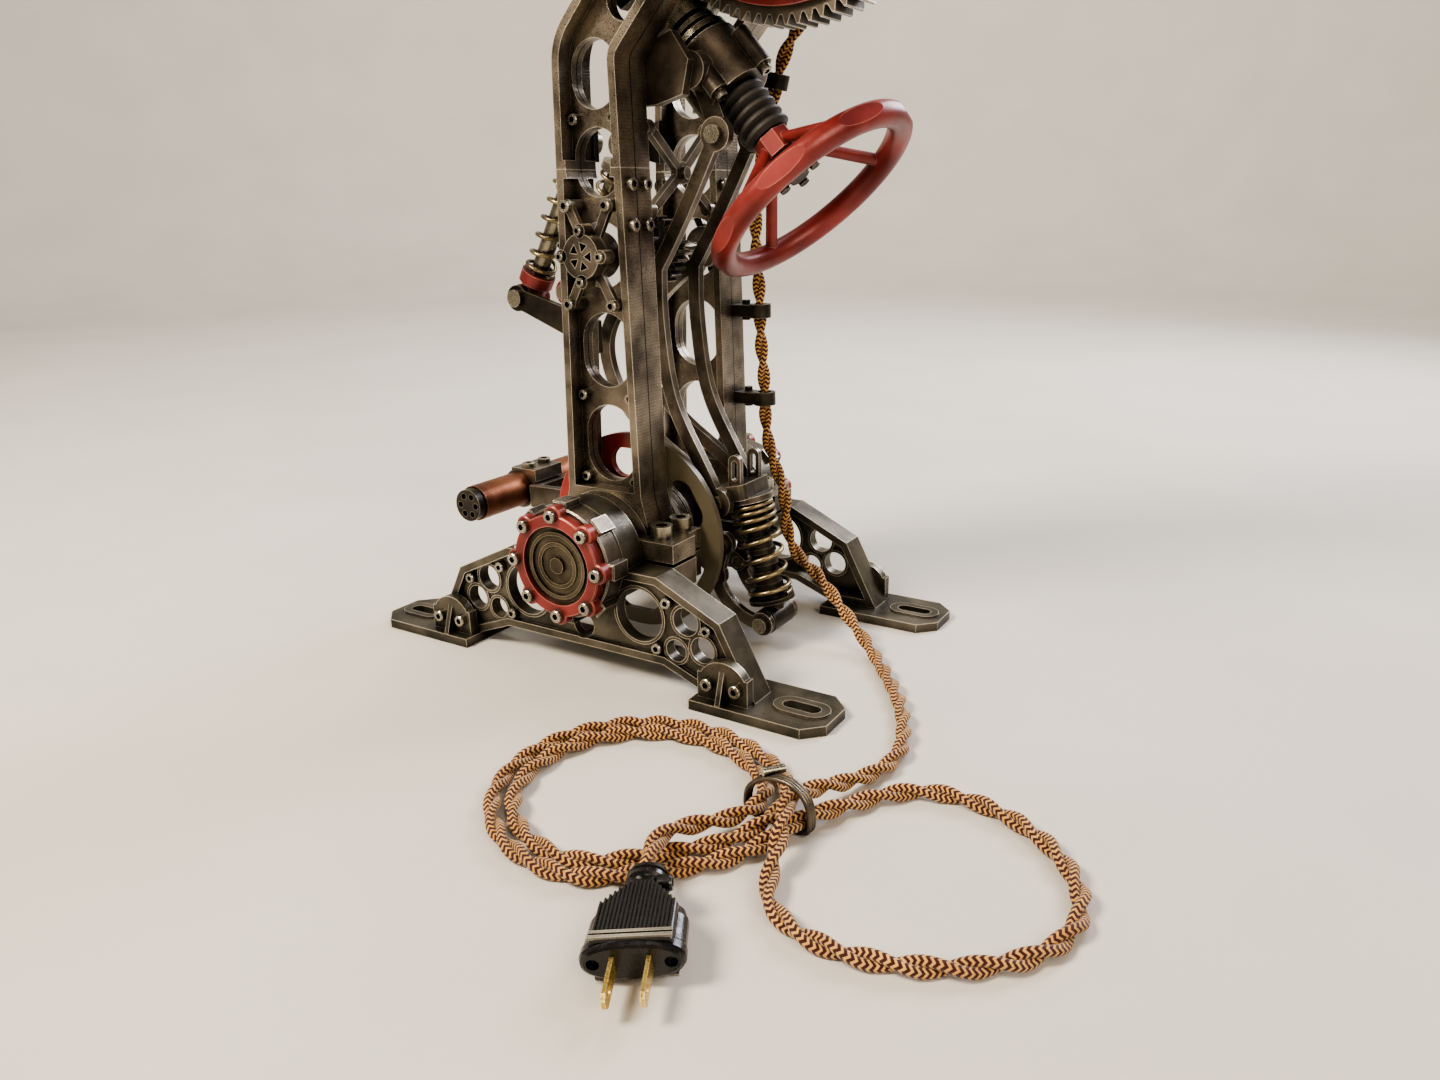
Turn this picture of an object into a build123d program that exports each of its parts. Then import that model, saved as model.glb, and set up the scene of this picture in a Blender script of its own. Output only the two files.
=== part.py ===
from build123d import *
from math import acos, atan2, ceil, cos, degrees, exp, hypot, pi, radians, sin, sqrt, tan
import os

os.makedirs("parts", exist_ok=True)

# Frame: origin on the floor under the column, +X to the handwheel, +Z up, millimetres.
# Depths are distances from the middle plane; near pieces lie at minus Y, far ones mirror them.

# General fits
fit = 0.05
running_fit = 0.05
body_gap = 0.3
touch_gap = 0.3

# Trunnion and feet
trunnion_z = 67.0
trunnion_radius = 20.0
trunnion_wall = 6.0
pad_thickness = 5.6
pad_width = 41.5
pad_inner_end = 79.0
pad_outer_end = 153.8
pad_corner = 10.0
pad_slot_x = 134.6
pad_slot_length = 21.0
pad_slot_width = 8.0
pad_boss_length = 31.0
pad_boss_width = 17.0
pad_boss_height = 1.0
foot_inner = 67.5
foot_width = 17.0
foot_outer = foot_inner + foot_width
foot_middle = foot_inner + foot_width / 2
foot_rim = 4.5
foot_web_inner = 77.0
foot_web = 5.0
foot_top_z = 64.0
foot_top_half = 52.0
foot_knee = (91.0, 45.5)
foot_toe_x = 112.0
foot_heel_x = 80.0
foot_arch_x = 55.0
foot_arch_z = 15.0
foot_boss_radius = 31.5
ear_width = 30.0
ear_height = 22.0
ear_thickness = 6.0
ear_x = 96.0
small_head_radius = 3.5
small_head_height = 3.0

# Bearings and caps
housing_depth = 12.5
housing_radius = 31.0
housing_rib_radius = 34.5
housing_rib_width = 9.0
housing_face = foot_outer + housing_depth
cap_depth = 6.0
cap_inner_radius = 22.0
cap_outer_radius = 28.5
cap_lobe_radius = 5.5
cap_lobe_circle = 28.0
cap_lobes = 8
badge_depth = 3.5

# Clamp ears and column castings
seam = 45.0
outer_depth = 12.7
inner_depth = 12.7
column_web = 4.0
column_rim = 4.5
dome_radius = 31.5
dome_depth = 14.7
split_gap = 2.0
clamp_split_z = 64.0
upper_ear_z = clamp_split_z + split_gap
upper_ear_height = 10.5
lower_ear_height = 15.0
outer_ear_reach = 52.0
inner_ear_reach = 47.0
outer_ear_depth = 22.2
clamp_screw_x = 38.0
outer_clamp_depth = 57.0
inner_clamp_depth = 38.65
clamp_shank_radius = 4.0
clamp_head_radius = 6.0
clamp_head_height = 7.0
hex_key_radius = 3.6
column_base_z = 85.0
column_joint_z = 268.0
column_base_half = 25.15
column_joint_half = 20.8
column_foot_half = 29.0
bend_front = (19.6, 320.0)
bend_rear = (-19.5, 329.4)
pivot_x = 90.0
pivot_z = 420.0
lean_angle = 47.0
front_lean_length = 121.0
rear_lean_length = 141.0
pivot_boss_radius = 24.0
pivot_bore_radius = 10.0
flange_bolt_radius = 3.4
flange_bolt_height = 3.6

# Cross shaft, bracket and pierced caps
cross_z = 225.0
cross_radius = 4.0
cross_gear_teeth = 24
cross_gear_module = 1.5
cross_gear_half = 10.0
bracket_low = (14.4, 200.0)
bracket_high = (13.0, 250.0)
bracket_tube_radius = 3.3
bracket_ring_radius = 12.0
bracket_depth = 11.0
bracket_arm_width = 5.0
pierced_radius = 11.5
pierced_depth = 7.4
pierced_lobe_circle = 12.8
pierced_lobe_radius = 3.5

# Handwheel and worm shaft, measured from the rim plane along the shaft
wheel_centre = (98.3, 0.0, 254.1)
shaft_lean = 40.94
rim_radius = 54.5
rim_tube = 6.5
rim_flat = 59.4
spoke_radius = 3.3
spoke_taper = 0.4
spoke_turn = 24.3
spoke_count = 4
hub_start = 25.0
hub_end = 36.0
hub_radius = 10.5
shaft_radius = 5.0
shaft_end = 166.0
plate_start = 13.0
plate_thickness = 5.0
bellows_end = 65.0
bellows_inner = 8.5
bellows_root = 10.5
bellows_crest = 13.0
bellows_folds = 5
gearbox_length = 30.0
gearbox_radius = 18.0
gearbox_screw_circle = 19.2
disc_start = 98.0
disc_radius = 16.5
worm_centre = 130.7
lead = 2 * pi
worm_turns = 6
worm_pitch_radius = 16.4
worm_tip_radius = 18.4
worm_root_radius = 13.9
mesh_play = 0.5
bearing_start = 153.0
bearing_depth = 9.0
bearing_end = bearing_start + bearing_depth

# Worm wheel and upper arm
wheel_teeth = 86
gear_module = 2.0
wheel_pitch_radius = gear_module * wheel_teeth / 2
wheel_tip_radius = 88.0
wheel_root_radius = 83.5
wheel_half_width = 10.0
cover_radius = 80.0
cover_thickness = 3.0
wheel_hub_radius = 14.0
arm_inner = 22.0
arm_thickness = 8.0
arm_end_radius = 22.0
arm_head_radius = 15.0
arm_length = 235.0
arm_angle = 40.0
axle_end = 61.5
head_pin_radius = 6.0
head_half = 21.7
shade_radius = 56.0
shade_depth = 62.0
shade_wall = 1.6
socket_radius = 17.0
socket_top_drop = 16.0
socket_length = 34.0
bulb_radius = 24.0

# Front suspension
shock_origin = (62.5, 0.0, 80.6)
shock_lean = 13.6
coil_radius = 12.0
wire_radius = 1.35
coil_top = 4.2
coil_bottom = -50.4
head_pin = (51.0, 88.5)
eye_pin = (77.0, 18.0)
lever_pin = (51.2, 62.7)
link_pin = (46.0, 43.0)
top_pin = (53.5, 283.5)
strap_inner = 9.0
strap_outer = 11.7
strap_boss_radius = 5.2
curved_inner = 16.0
curved_outer = 21.0
curved_width = 7.5
pin_radius = 3.5
pin_head_radius = 4.5

# Rear canisters, index disc and coil-overs
canister_x = -105.0
canister_z = 75.5
canister_radius = 11.0
canister_start = 13.0
canister_end = 54.0
canister_cap_radius = 10.0
canister_cap_depth = 6.0
index_face = 26.0
index_thickness = 4.0
index_radius = 58.5
rear_low = (-77.7, 198.8)
rear_high = (-32.0, 283.0)
rear_depth = 20.0
rear_spring_radius = 8.2
rear_wire_radius = 1.1

# Cord
cord_radius = 4.0
cord_side = 50.0
clamp_bore = cord_radius + 0.2
clamp_eye_radius = 6.6
clamp_block_height = 8.0
floor_z = cord_radius + 0.05
tie_wall = 2.0


def save(piece, name):
    piece.label = name
    export_step(piece, f"parts/{name}.step")


def side_plane(depth):
    return Plane.XZ.offset(depth)


def panel(points, plane, inset=0.0):
    with BuildSketch(plane) as face:
        with BuildLine():
            Polyline(*points, close=True)
        make_face()
        if inset > 0:
            offset(amount=-inset, kind=Kind.INTERSECTION, mode=Mode.REPLACE)
    return face.sketch


def discs(points, plane, radius):
    with BuildSketch(plane) as face:
        with Locations(*points):
            Circle(radius)
    return face.sketch


def bar_face(start, end, plane, width):
    with BuildSketch(plane) as face:
        middle = ((start[0] + end[0]) / 2, (start[1] + end[1]) / 2)
        length = hypot(end[0] - start[0], end[1] - start[1])
        turn = degrees(atan2(end[1] - start[1], end[0] - start[0]))
        with Locations(Location((middle[0], middle[1], 0), turn)):
            SlotCenterToCenter(length, width)
    return face.sketch


def ring_points(count, circle, start=0.0):
    return [
        (circle * cos(radians(start + 360 * i / count)), circle * sin(radians(start + 360 * i / count)))
        for i in range(count)
    ]


def ribbon_face(points, plane, width):
    with BuildSketch(plane) as face:
        with BuildLine() as line:
            Spline(*points)
        trace(line.line, line_width=width)
        with Locations(points[0], points[-1]):
            Circle(width / 2)
    return face.sketch


def in_lean(origin, angle, along, across):
    direction = (cos(radians(angle)), sin(radians(angle)))
    return (
        origin[0] + along * direction[0] - across * direction[1],
        origin[1] + along * direction[1] + across * direction[0],
    )


# Foot plates: arched webs with a rim all round, standing on two pads each
foot_outline = [
    (foot_top_half, foot_top_z),
    foot_knee,
    (foot_toe_x, pad_thickness),
    (foot_heel_x, pad_thickness),
    (foot_arch_x, foot_arch_z),
    (-foot_arch_x, foot_arch_z),
    (-foot_heel_x, pad_thickness),
    (-foot_toe_x, pad_thickness),
    (-foot_knee[0], foot_knee[1]),
    (-foot_top_half, foot_top_z),
]
foot_windows = [
    (39.5, 40.0, 15.0),
    (0.0, 26.0, 7.0),
    (69.4, 42.0, 7.7),
    (63.0, 24.3, 6.2),
    (79.7, 28.0, 7.2),
]
with BuildPart() as foot_plate:
    extrude(panel(foot_outline, side_plane(foot_inner)), amount=foot_width)
    extrude(
        panel(foot_outline, side_plane(foot_inner), foot_rim),
        amount=foot_web_inner - foot_inner,
        mode=Mode.SUBTRACT,
    )
    extrude(
        panel(foot_outline, side_plane(foot_web_inner + foot_web), foot_rim),
        amount=foot_width,
        mode=Mode.SUBTRACT,
    )
    extrude(discs([(0, trunnion_z)], side_plane(foot_inner), foot_boss_radius), amount=foot_width)
    for x, z, radius in foot_windows:
        ends = [(x, z), (-x, z)] if x > 0 else [(x, z)]
        extrude(discs(ends, side_plane(foot_inner), radius), amount=foot_width, mode=Mode.SUBTRACT)
        if x > 30:
            with BuildSketch(side_plane(foot_web_inner - 1.5)):
                with Locations(*ends):
                    Circle(radius + 1.8)
                    Circle(radius, mode=Mode.SUBTRACT)
            extrude(amount=foot_web + 2.5)
    extrude(
        discs([(0, trunnion_z)], side_plane(foot_inner), trunnion_radius + fit),
        amount=foot_width,
        mode=Mode.SUBTRACT,
    )
save(foot_plate.part, "foot_plate_near")
save(mirror(foot_plate.part, about=Plane.XZ), "foot_plate_far")

# Foot pads: slotted shoes with a bolted ear against the outer face of each plate
pad_half = pad_width / 2
pad_points = [
    (pad_inner_end, foot_middle - pad_half),
    (pad_outer_end - pad_corner, foot_middle - pad_half),
    (pad_outer_end, foot_middle - pad_half + pad_corner),
    (pad_outer_end, foot_middle + pad_half - pad_corner),
    (pad_outer_end - pad_corner, foot_middle + pad_half),
    (pad_inner_end, foot_middle + pad_half),
]
ear_face = foot_outer
with BuildPart() as foot_pads:
    extrude(panel([(x, -d) for x, d in pad_points], Plane.XY), amount=pad_thickness)
    with BuildSketch(Plane.XY.offset(pad_thickness)):
        with Locations((pad_slot_x, -foot_middle)):
            SlotOverall(pad_boss_length, pad_boss_width)
    extrude(amount=pad_boss_height)
    with BuildSketch(side_plane(ear_face)):
        with Locations((ear_x, pad_thickness + (ear_height - ear_width / 4) / 2)):
            Rectangle(ear_width, ear_height - ear_width / 4)
        with Locations((ear_x, pad_thickness + ear_height - ear_width / 2)):
            Circle(ear_width / 2)
        with Locations((ear_x, pad_thickness / 2)):
            Rectangle(ear_width, pad_thickness)
        with Locations((ear_x, -ear_width / 2)):
            Rectangle(2 * ear_width, ear_width, mode=Mode.SUBTRACT)
    extrude(amount=ear_thickness)
    with BuildSketch(Plane.YZ.offset(ear_x - 1.5)):
        with BuildLine():
            Polyline(
                (-ear_face - ear_thickness, pad_thickness),
                (-ear_face - ear_thickness - 5.5, pad_thickness),
                (-ear_face - ear_thickness, pad_thickness + ear_height - 5),
                close=True,
            )
        make_face()
    extrude(amount=3.0)
    with BuildSketch(Plane.XY):
        with Locations((pad_slot_x, -foot_middle)):
            SlotOverall(pad_slot_length, pad_slot_width)
    extrude(amount=pad_thickness + pad_boss_height, mode=Mode.SUBTRACT)
    mirror(about=Plane.YZ)
    mirror(about=Plane.XZ)
save(foot_pads.part, "foot_pads")

# Screws of the feet: two on each ear, six in the web of each plate
ear_screws = [(ear_x - 8.5, pad_thickness + 8.5), (ear_x + 8.5, pad_thickness + 8.5)]
web_screws = [(58.5, 51.0), (83.0, 40.0), (51.5, 23.6)]
foot_web_face = foot_web_inner + foot_web
with BuildPart() as foot_screws:
    ear_plane = side_plane(ear_face + ear_thickness)
    extrude(discs(ear_screws, ear_plane, small_head_radius), amount=small_head_height)
    web_plane = side_plane(foot_web_face)
    extrude(discs(web_screws, web_plane, small_head_radius - 0.4), amount=small_head_height + 1)
    mirror(about=Plane.YZ)
    mirror(about=Plane.XZ)

# Trunnion tube across both feet
with BuildPart() as trunnion_tube:
    with BuildSketch(side_plane(-housing_face)):
        with Locations((0, trunnion_z)):
            Circle(trunnion_radius)
            Circle(trunnion_radius - trunnion_wall, mode=Mode.SUBTRACT)
    extrude(amount=2 * housing_face)
save(trunnion_tube.part, "trunnion_tube")

# Ribbed bearing housings
with BuildPart() as bearing_housing:
    with BuildSketch(side_plane(foot_outer)):
        with Locations((0, trunnion_z)):
            Circle(housing_radius)
            for i in range(cap_lobes):
                with Locations(Location((0, 0, 0), 360 * i / cap_lobes)):
                    with Locations((housing_radius - 1.5, 0)):
                        Rectangle(2 * (housing_rib_radius - housing_radius + 1.5), housing_rib_width)
            Circle(trunnion_radius + fit, mode=Mode.SUBTRACT)
    extrude(amount=housing_depth)
    chamfer(bearing_housing.faces().sort_by(Axis.Y)[0].outer_wire().edges(), 0.8)
    mirror(about=Plane.XZ)
save(bearing_housing.part, "bearing_housings")

# Lobed cap rings with a screw in each lobe
lobe_points = [(x, z + trunnion_z) for x, z in ring_points(cap_lobes, cap_lobe_circle, 90)]
with BuildPart() as cap_ring:
    with BuildSketch(side_plane(housing_face)):
        with Locations((0, trunnion_z)):
            Circle(cap_outer_radius)
        with Locations(*lobe_points):
            Circle(cap_lobe_radius)
        with Locations((0, trunnion_z)):
            Circle(cap_inner_radius, mode=Mode.SUBTRACT)
    extrude(amount=cap_depth)
    chamfer(cap_ring.faces().sort_by(Axis.Y)[0].outer_wire().edges(), 0.6)
    mirror(about=Plane.XZ)
save(cap_ring.part, "cap_rings")

with BuildPart() as base_screws:
    add(foot_screws.part)
    lobe_plane = side_plane(housing_face + cap_depth)
    extrude(discs(lobe_points, lobe_plane, small_head_radius), amount=small_head_height)
    mirror(about=Plane.XZ)
save(base_screws.part, "base_screws")

# Turned end discs inside the rings
with BuildPart() as badge_disc:
    extrude(discs([(0, trunnion_z)], side_plane(housing_face), cap_inner_radius - fit), amount=badge_depth)
    for radius, rise in ((cap_inner_radius - 3, 1.2), (cap_inner_radius - 9, 0.8)):
        with BuildSketch(side_plane(housing_face + badge_depth)):
            with Locations((0, trunnion_z)):
                Circle(radius)
                Circle(radius - 2.2, mode=Mode.SUBTRACT)
        extrude(amount=rise)
    extrude(discs([(0, trunnion_z)], side_plane(housing_face + badge_depth), 4.5), amount=1.4)
    mirror(about=Plane.XZ)
save(badge_disc.part, "badge_discs")

# Clamp saddles under the tube: an outer and an inner half bolted to the ears above
with BuildPart() as clamp_saddle:
    for depth, reach, start in (
        (foot_inner - seam, outer_ear_reach, seam),
        (inner_depth, inner_ear_reach, seam - inner_depth),
    ):
        with BuildSketch(side_plane(start)):
            with Locations((0, trunnion_z)):
                Circle(dome_radius)
            with Locations((0, clamp_split_z - lower_ear_height / 2)):
                Rectangle(2 * reach, lower_ear_height)
            with Locations((0, clamp_split_z + dome_radius)):
                Rectangle(2 * dome_radius + 2, 2 * dome_radius, mode=Mode.SUBTRACT)
            with Locations((0, trunnion_z)):
                Circle(trunnion_radius + fit, mode=Mode.SUBTRACT)
        extrude(amount=depth)
    for depth in (outer_clamp_depth, inner_clamp_depth):
        with BuildSketch(Plane.XY.offset(clamp_split_z - lower_ear_height)):
            with Locations((clamp_screw_x, -depth), (-clamp_screw_x, -depth)):
                Circle(clamp_shank_radius + fit)
        extrude(amount=lower_ear_height, mode=Mode.SUBTRACT)
    mirror(about=Plane.XZ)
save(clamp_saddle.part, "clamp_saddles")

# Column castings, lower pair: channels back to back on the seam, with the clamp's upper half below
lower_outline = [
    (column_base_half, column_base_z + 12),
    (column_joint_half, column_joint_z),
    (-column_joint_half, column_joint_z),
    (-column_base_half, column_base_z + 12),
    (-column_foot_half, column_base_z - 4),
    (column_foot_half, column_base_z - 4),
]
lower_windows = [(0, 123.5, 43.0, 33.0), (0, 175.0, 40.0, 32.0)]
crossing_window = (0, 271.0, 34.0, 29.0)
upper_window = (0, 313.0, 33.0, 28.0)


def window_face(window, plane, turn=90.0):
    x, z, length, width = window
    with BuildSketch(plane) as face:
        with Locations(Location((x, z, 0), turn)):
            SlotOverall(length, width)
    return face.sketch


def lower_half(side, depth, ear_depth, ear_reach, clamp_depth):
    pocket_outline = [(x, max(z, trunnion_z + dome_radius - 4)) for x, z in lower_outline]
    with BuildPart() as half:
        extrude(panel(lower_outline, side_plane(seam)), amount=side * depth)
        extrude(
            panel(pocket_outline, side_plane(seam + side * column_web), column_rim),
            amount=side * depth,
            mode=Mode.SUBTRACT,
        )
        with BuildSketch(side_plane(seam)):
            with Locations((0, trunnion_z)):
                Circle(dome_radius)
            with Locations((0, upper_ear_z - dome_radius)):
                Rectangle(2 * dome_radius + 2, 2 * dome_radius, mode=Mode.SUBTRACT)
        extrude(amount=side * min(dome_depth, ear_depth))
        with BuildSketch(side_plane(seam)):
            with Locations((0, upper_ear_z + upper_ear_height / 2)):
                Rectangle(2 * ear_reach, upper_ear_height)
        extrude(amount=side * ear_depth)
        for window in lower_windows + [crossing_window]:
            extrude(window_face(window, side_plane(seam)), amount=side * depth, mode=Mode.SUBTRACT)
        extrude(
            discs([(0, cross_z)], side_plane(seam), 17.0),
            amount=side * depth,
            mode=Mode.SUBTRACT,
        )
        extrude(
            discs([(0, trunnion_z)], side_plane(seam), trunnion_radius + fit),
            amount=side * 30,
            mode=Mode.SUBTRACT,
        )
        with BuildSketch(Plane.XY.offset(upper_ear_z)):
            with Locations((clamp_screw_x, -clamp_depth), (-clamp_screw_x, -clamp_depth)):
                Circle(clamp_shank_radius + fit)
        extrude(amount=upper_ear_height, mode=Mode.SUBTRACT)
    return half.part


column_lower_outer = lower_half(1, outer_depth, outer_ear_depth, outer_ear_reach, outer_clamp_depth)
column_lower_inner = lower_half(-1, inner_depth, inner_depth, inner_ear_reach, inner_clamp_depth)
column_lower = Compound(children=[column_lower_outer, column_lower_inner])
save(column_lower, "column_lower_near")
save(mirror(column_lower, about=Plane.XZ), "column_lower_far")

# Column castings, upper pair: the leaning head with the pivot boss
front_top = in_lean(bend_front, lean_angle, front_lean_length, 0)
rear_top = in_lean(bend_rear, lean_angle, rear_lean_length, 0)
upper_outline = [
    (column_joint_half, column_joint_z),
    bend_front,
    front_top,
    rear_top,
    bend_rear,
    (-column_joint_half, column_joint_z),
]
pivot = (pivot_x, pivot_z)
lean_windows = [
    in_lean(pivot, lean_angle, -50.0, 0.0) + (38.0, 21.0),
    in_lean(pivot, lean_angle, -94.0, 0.0) + (36.0, 21.0),
]


def upper_half(side, depth):
    with BuildPart() as half:
        with BuildSketch(side_plane(seam)) as profile:
            with BuildLine():
                FilletPolyline(*upper_outline[:3], radius=8.0)
                Line(upper_outline[2], upper_outline[3])
                FilletPolyline(*upper_outline[3:], radius=30.0)
                Line(upper_outline[-1], upper_outline[0])
            make_face()
        extrude(amount=side * depth)
        with BuildSketch(side_plane(seam + side * column_web)):
            with BuildLine():
                FilletPolyline(*upper_outline[:3], radius=8.0)
                Line(upper_outline[2], upper_outline[3])
                FilletPolyline(*upper_outline[3:], radius=30.0)
                Line(upper_outline[-1], upper_outline[0])
            make_face()
            offset(amount=-column_rim, kind=Kind.INTERSECTION, mode=Mode.REPLACE)
        extrude(amount=side * depth, mode=Mode.SUBTRACT)
        extrude(discs([pivot], side_plane(seam), pivot_boss_radius), amount=side * depth)
        for window in [crossing_window, upper_window]:
            extrude(window_face(window, side_plane(seam)), amount=side * depth, mode=Mode.SUBTRACT)
        for window in lean_windows:
            extrude(
                window_face(window, side_plane(seam), lean_angle),
                amount=side * depth,
                mode=Mode.SUBTRACT,
            )
        extrude(
            discs([pivot], side_plane(seam), pivot_bore_radius),
            amount=side * depth,
            mode=Mode.SUBTRACT,
        )
    return half.part


column_upper_outer = upper_half(1, outer_depth)
column_upper_inner = upper_half(-1, inner_depth)
column_upper = Compound(children=[column_upper_outer, column_upper_inner])
save(column_upper, "column_upper_near")
save(mirror(column_upper, about=Plane.XZ), "column_upper_far")

# Clamp screws through the ears
with BuildPart() as clamp_screws:
    for depth in (outer_clamp_depth, inner_clamp_depth):
        spots = [(clamp_screw_x, -depth), (-clamp_screw_x, -depth)]
        head_z = upper_ear_z + upper_ear_height
        extrude(
            discs(spots, Plane.XY.offset(clamp_split_z - lower_ear_height), clamp_shank_radius),
            amount=head_z - clamp_split_z + lower_ear_height,
        )
        extrude(discs(spots, Plane.XY.offset(head_z), clamp_head_radius), amount=clamp_head_height)
        with BuildSketch(Plane.XY.offset(head_z + clamp_head_height)):
            with Locations(*spots):
                RegularPolygon(hex_key_radius, 6)
        extrude(amount=-4.0, mode=Mode.SUBTRACT)
    mirror(about=Plane.XZ)
save(clamp_screws.part, "clamp_screws")

# Small screws on the column's outer webs
web_face = seam + column_web
column_screw_spots = [
    (16.7, 103.5),
    (16.0, 150.0),
    (12.6, 292.0),
    (-12.6, 292.0),
    (-16.0, 150.0),
    (-16.7, 103.5),
    in_lean(pivot, lean_angle, -72.0, 8.5),
    in_lean(pivot, lean_angle, -72.0, -8.5),
]
with BuildPart() as column_screws:
    extrude(discs(column_screw_spots, side_plane(web_face), 3.0), amount=4.0)
    mirror(about=Plane.XZ)


# Flange bolts either side of the joint between the castings
def flange_half(z):
    share = (z - column_base_z - 12) / (column_joint_z - column_base_z - 12)
    return column_base_half + share * (column_joint_half - column_base_half)


flange_tilt = degrees(atan2(column_base_half - column_joint_half, column_joint_z - column_base_z - 12))
flange_depths = (seam + 6.35, seam - 6.35)
with BuildPart() as flange_bolts:
    for z in (column_joint_z - 8, column_joint_z - 28):
        for depth in flange_depths:
            spot = Plane(
                origin=(flange_half(z), -depth, z),
                x_dir=(0, 1, 0),
                z_dir=(cos(radians(flange_tilt)), 0, sin(radians(flange_tilt))),
            )
            extrude(discs([(0, 0)], spot, flange_bolt_radius), amount=flange_bolt_height)
    mirror(about=Plane.YZ)
    mirror(about=Plane.XZ)

# X brackets on four posts, each with a ring round the cross shaft
bracket_face = web_face
posts = [bracket_low, (-bracket_low[0], bracket_low[1]), bracket_high, (-bracket_high[0], bracket_high[1])]
with BuildPart() as x_bracket:
    extrude(discs(posts, side_plane(bracket_face), bracket_tube_radius), amount=bracket_depth)
    for post in posts:
        extrude(
            bar_face(post, (0, cross_z), side_plane(bracket_face + bracket_depth - 3.0), bracket_arm_width),
            amount=3.0,
        )
    extrude(discs([(0, cross_z)], side_plane(bracket_face), bracket_ring_radius), amount=bracket_depth)
    extrude(
        discs([(0, cross_z)], side_plane(bracket_face), cross_radius + fit),
        amount=bracket_depth,
        mode=Mode.SUBTRACT,
    )
    mirror(about=Plane.XZ)
save(x_bracket.part, "x_brackets")

cap_face = bracket_face + bracket_depth
with BuildPart() as web_screw_set:
    add(column_screws.part)
    extrude(discs(posts, side_plane(bracket_face + bracket_depth), 3.2), amount=3.2)
    cap_spots = [(x, z + cross_z) for x, z in ring_points(4, pierced_lobe_circle, 45)]
    extrude(discs(cap_spots, side_plane(cap_face + pierced_depth), 2.4), amount=2.4)
    mirror(about=Plane.XZ)
save(web_screw_set.part, "web_screws")

# Pierced caps with five slanted openings
with BuildPart() as pierced_caps:
    with BuildSketch(side_plane(cap_face)):
        with Locations((0, cross_z)):
            Circle(pierced_radius)
        with Locations(*cap_spots):
            Circle(pierced_lobe_radius)
    extrude(amount=pierced_depth)
    with BuildSketch(side_plane(cap_face + pierced_depth)):
        with Locations((0, cross_z)):
            for i in range(5):
                with Locations(Location((0, 0, 0), 72 * i + 20)):
                    with BuildLine():
                        Polyline((3.2, -2.4), (8.6, -3.6), (8.2, 3.8), close=True)
                    make_face()
    extrude(amount=-pierced_depth + 1.5, mode=Mode.SUBTRACT)
    extrude(
        discs([(0, cross_z)], side_plane(cap_face), cross_radius + fit),
        amount=pierced_depth / 2,
        mode=Mode.SUBTRACT,
    )
    mirror(about=Plane.XZ)
save(pierced_caps.part, "pierced_caps")

# Cross shaft with its gear between the castings
with BuildPart() as cross_shaft:
    reach = cap_face + pierced_depth / 2
    with BuildSketch(side_plane(-reach)):
        with Locations((0, cross_z)):
            Circle(cross_radius)
    extrude(amount=2 * reach)
save(cross_shaft.part, "cross_shaft")


def gear_face(teeth, module, tip, root, plane, play=0.0, phase=0.0):
    half = pi * module / 4 - play / 2
    pitch_radius = module * teeth / 2
    flank = tan(radians(20))
    step = 2 * pi / teeth
    points = []
    for i in range(teeth):
        middle = radians(phase) + i * step
        for radius, sign in ((root, -1), (tip, -1), (tip, 1), (root, 1)):
            width = half - (radius - pitch_radius) * flank
            angle = middle + sign * width / radius
            points.append((radius * cos(angle), radius * sin(angle)))
    with BuildSketch(plane) as face:
        with BuildLine():
            Polyline(*points, close=True)
        make_face()
    return face.sketch


cross_gear_radius = cross_gear_teeth * cross_gear_module / 2
with BuildPart() as column_gear:
    gear_plane = Plane(origin=(0, cross_gear_half / 2, cross_z), x_dir=(1, 0, 0), z_dir=(0, -1, 0))
    extrude(
        gear_face(
            cross_gear_teeth,
            cross_gear_module,
            cross_gear_radius + 1.4,
            cross_gear_radius - 1.8,
            gear_plane,
        ),
        amount=cross_gear_half,
    )
    with BuildSketch(gear_plane):
        with Locations(*ring_points(5, 9.8)):
            Circle(3.6)
    extrude(amount=cross_gear_half, mode=Mode.SUBTRACT)
    with BuildSketch(gear_plane.offset(-4)):
        Circle(6.5)
    extrude(amount=cross_gear_half + 8)
    with BuildSketch(gear_plane.offset(-4)):
        Circle(cross_radius + fit)
    extrude(amount=cross_gear_half + 8, mode=Mode.SUBTRACT)
save(column_gear.part, "column_gear")

# Four-legged spider across the castings
spider_x = 16.0
inner_face = seam - inner_depth
spider_centre_z = 266.0
spider_feet = [(-inner_face, 288.0), (inner_face, 288.0), (-inner_face, 247.0), (inner_face, 247.0)]
with BuildPart() as spider_brace:
    spider_plane = Plane.YZ.offset(spider_x)
    for foot in spider_feet:
        extrude(bar_face((0, spider_centre_z), (foot[0] * 0.88, foot[1]), spider_plane, 5.0), amount=4.0)
        with BuildSketch(Plane.XZ.offset(-foot[0])):
            with Locations((spider_x + 1.0, foot[1])):
                Circle(4.2)
        extrude(amount=5.5 if foot[0] > 0 else -5.5)
    extrude(discs([(0, spider_centre_z)], spider_plane, 6.0), amount=4.0)
    extrude(discs([(0, spider_centre_z)], spider_plane.offset(4), 3.4), amount=3.0)
save(spider_brace.part, "spider_brace")

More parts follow.
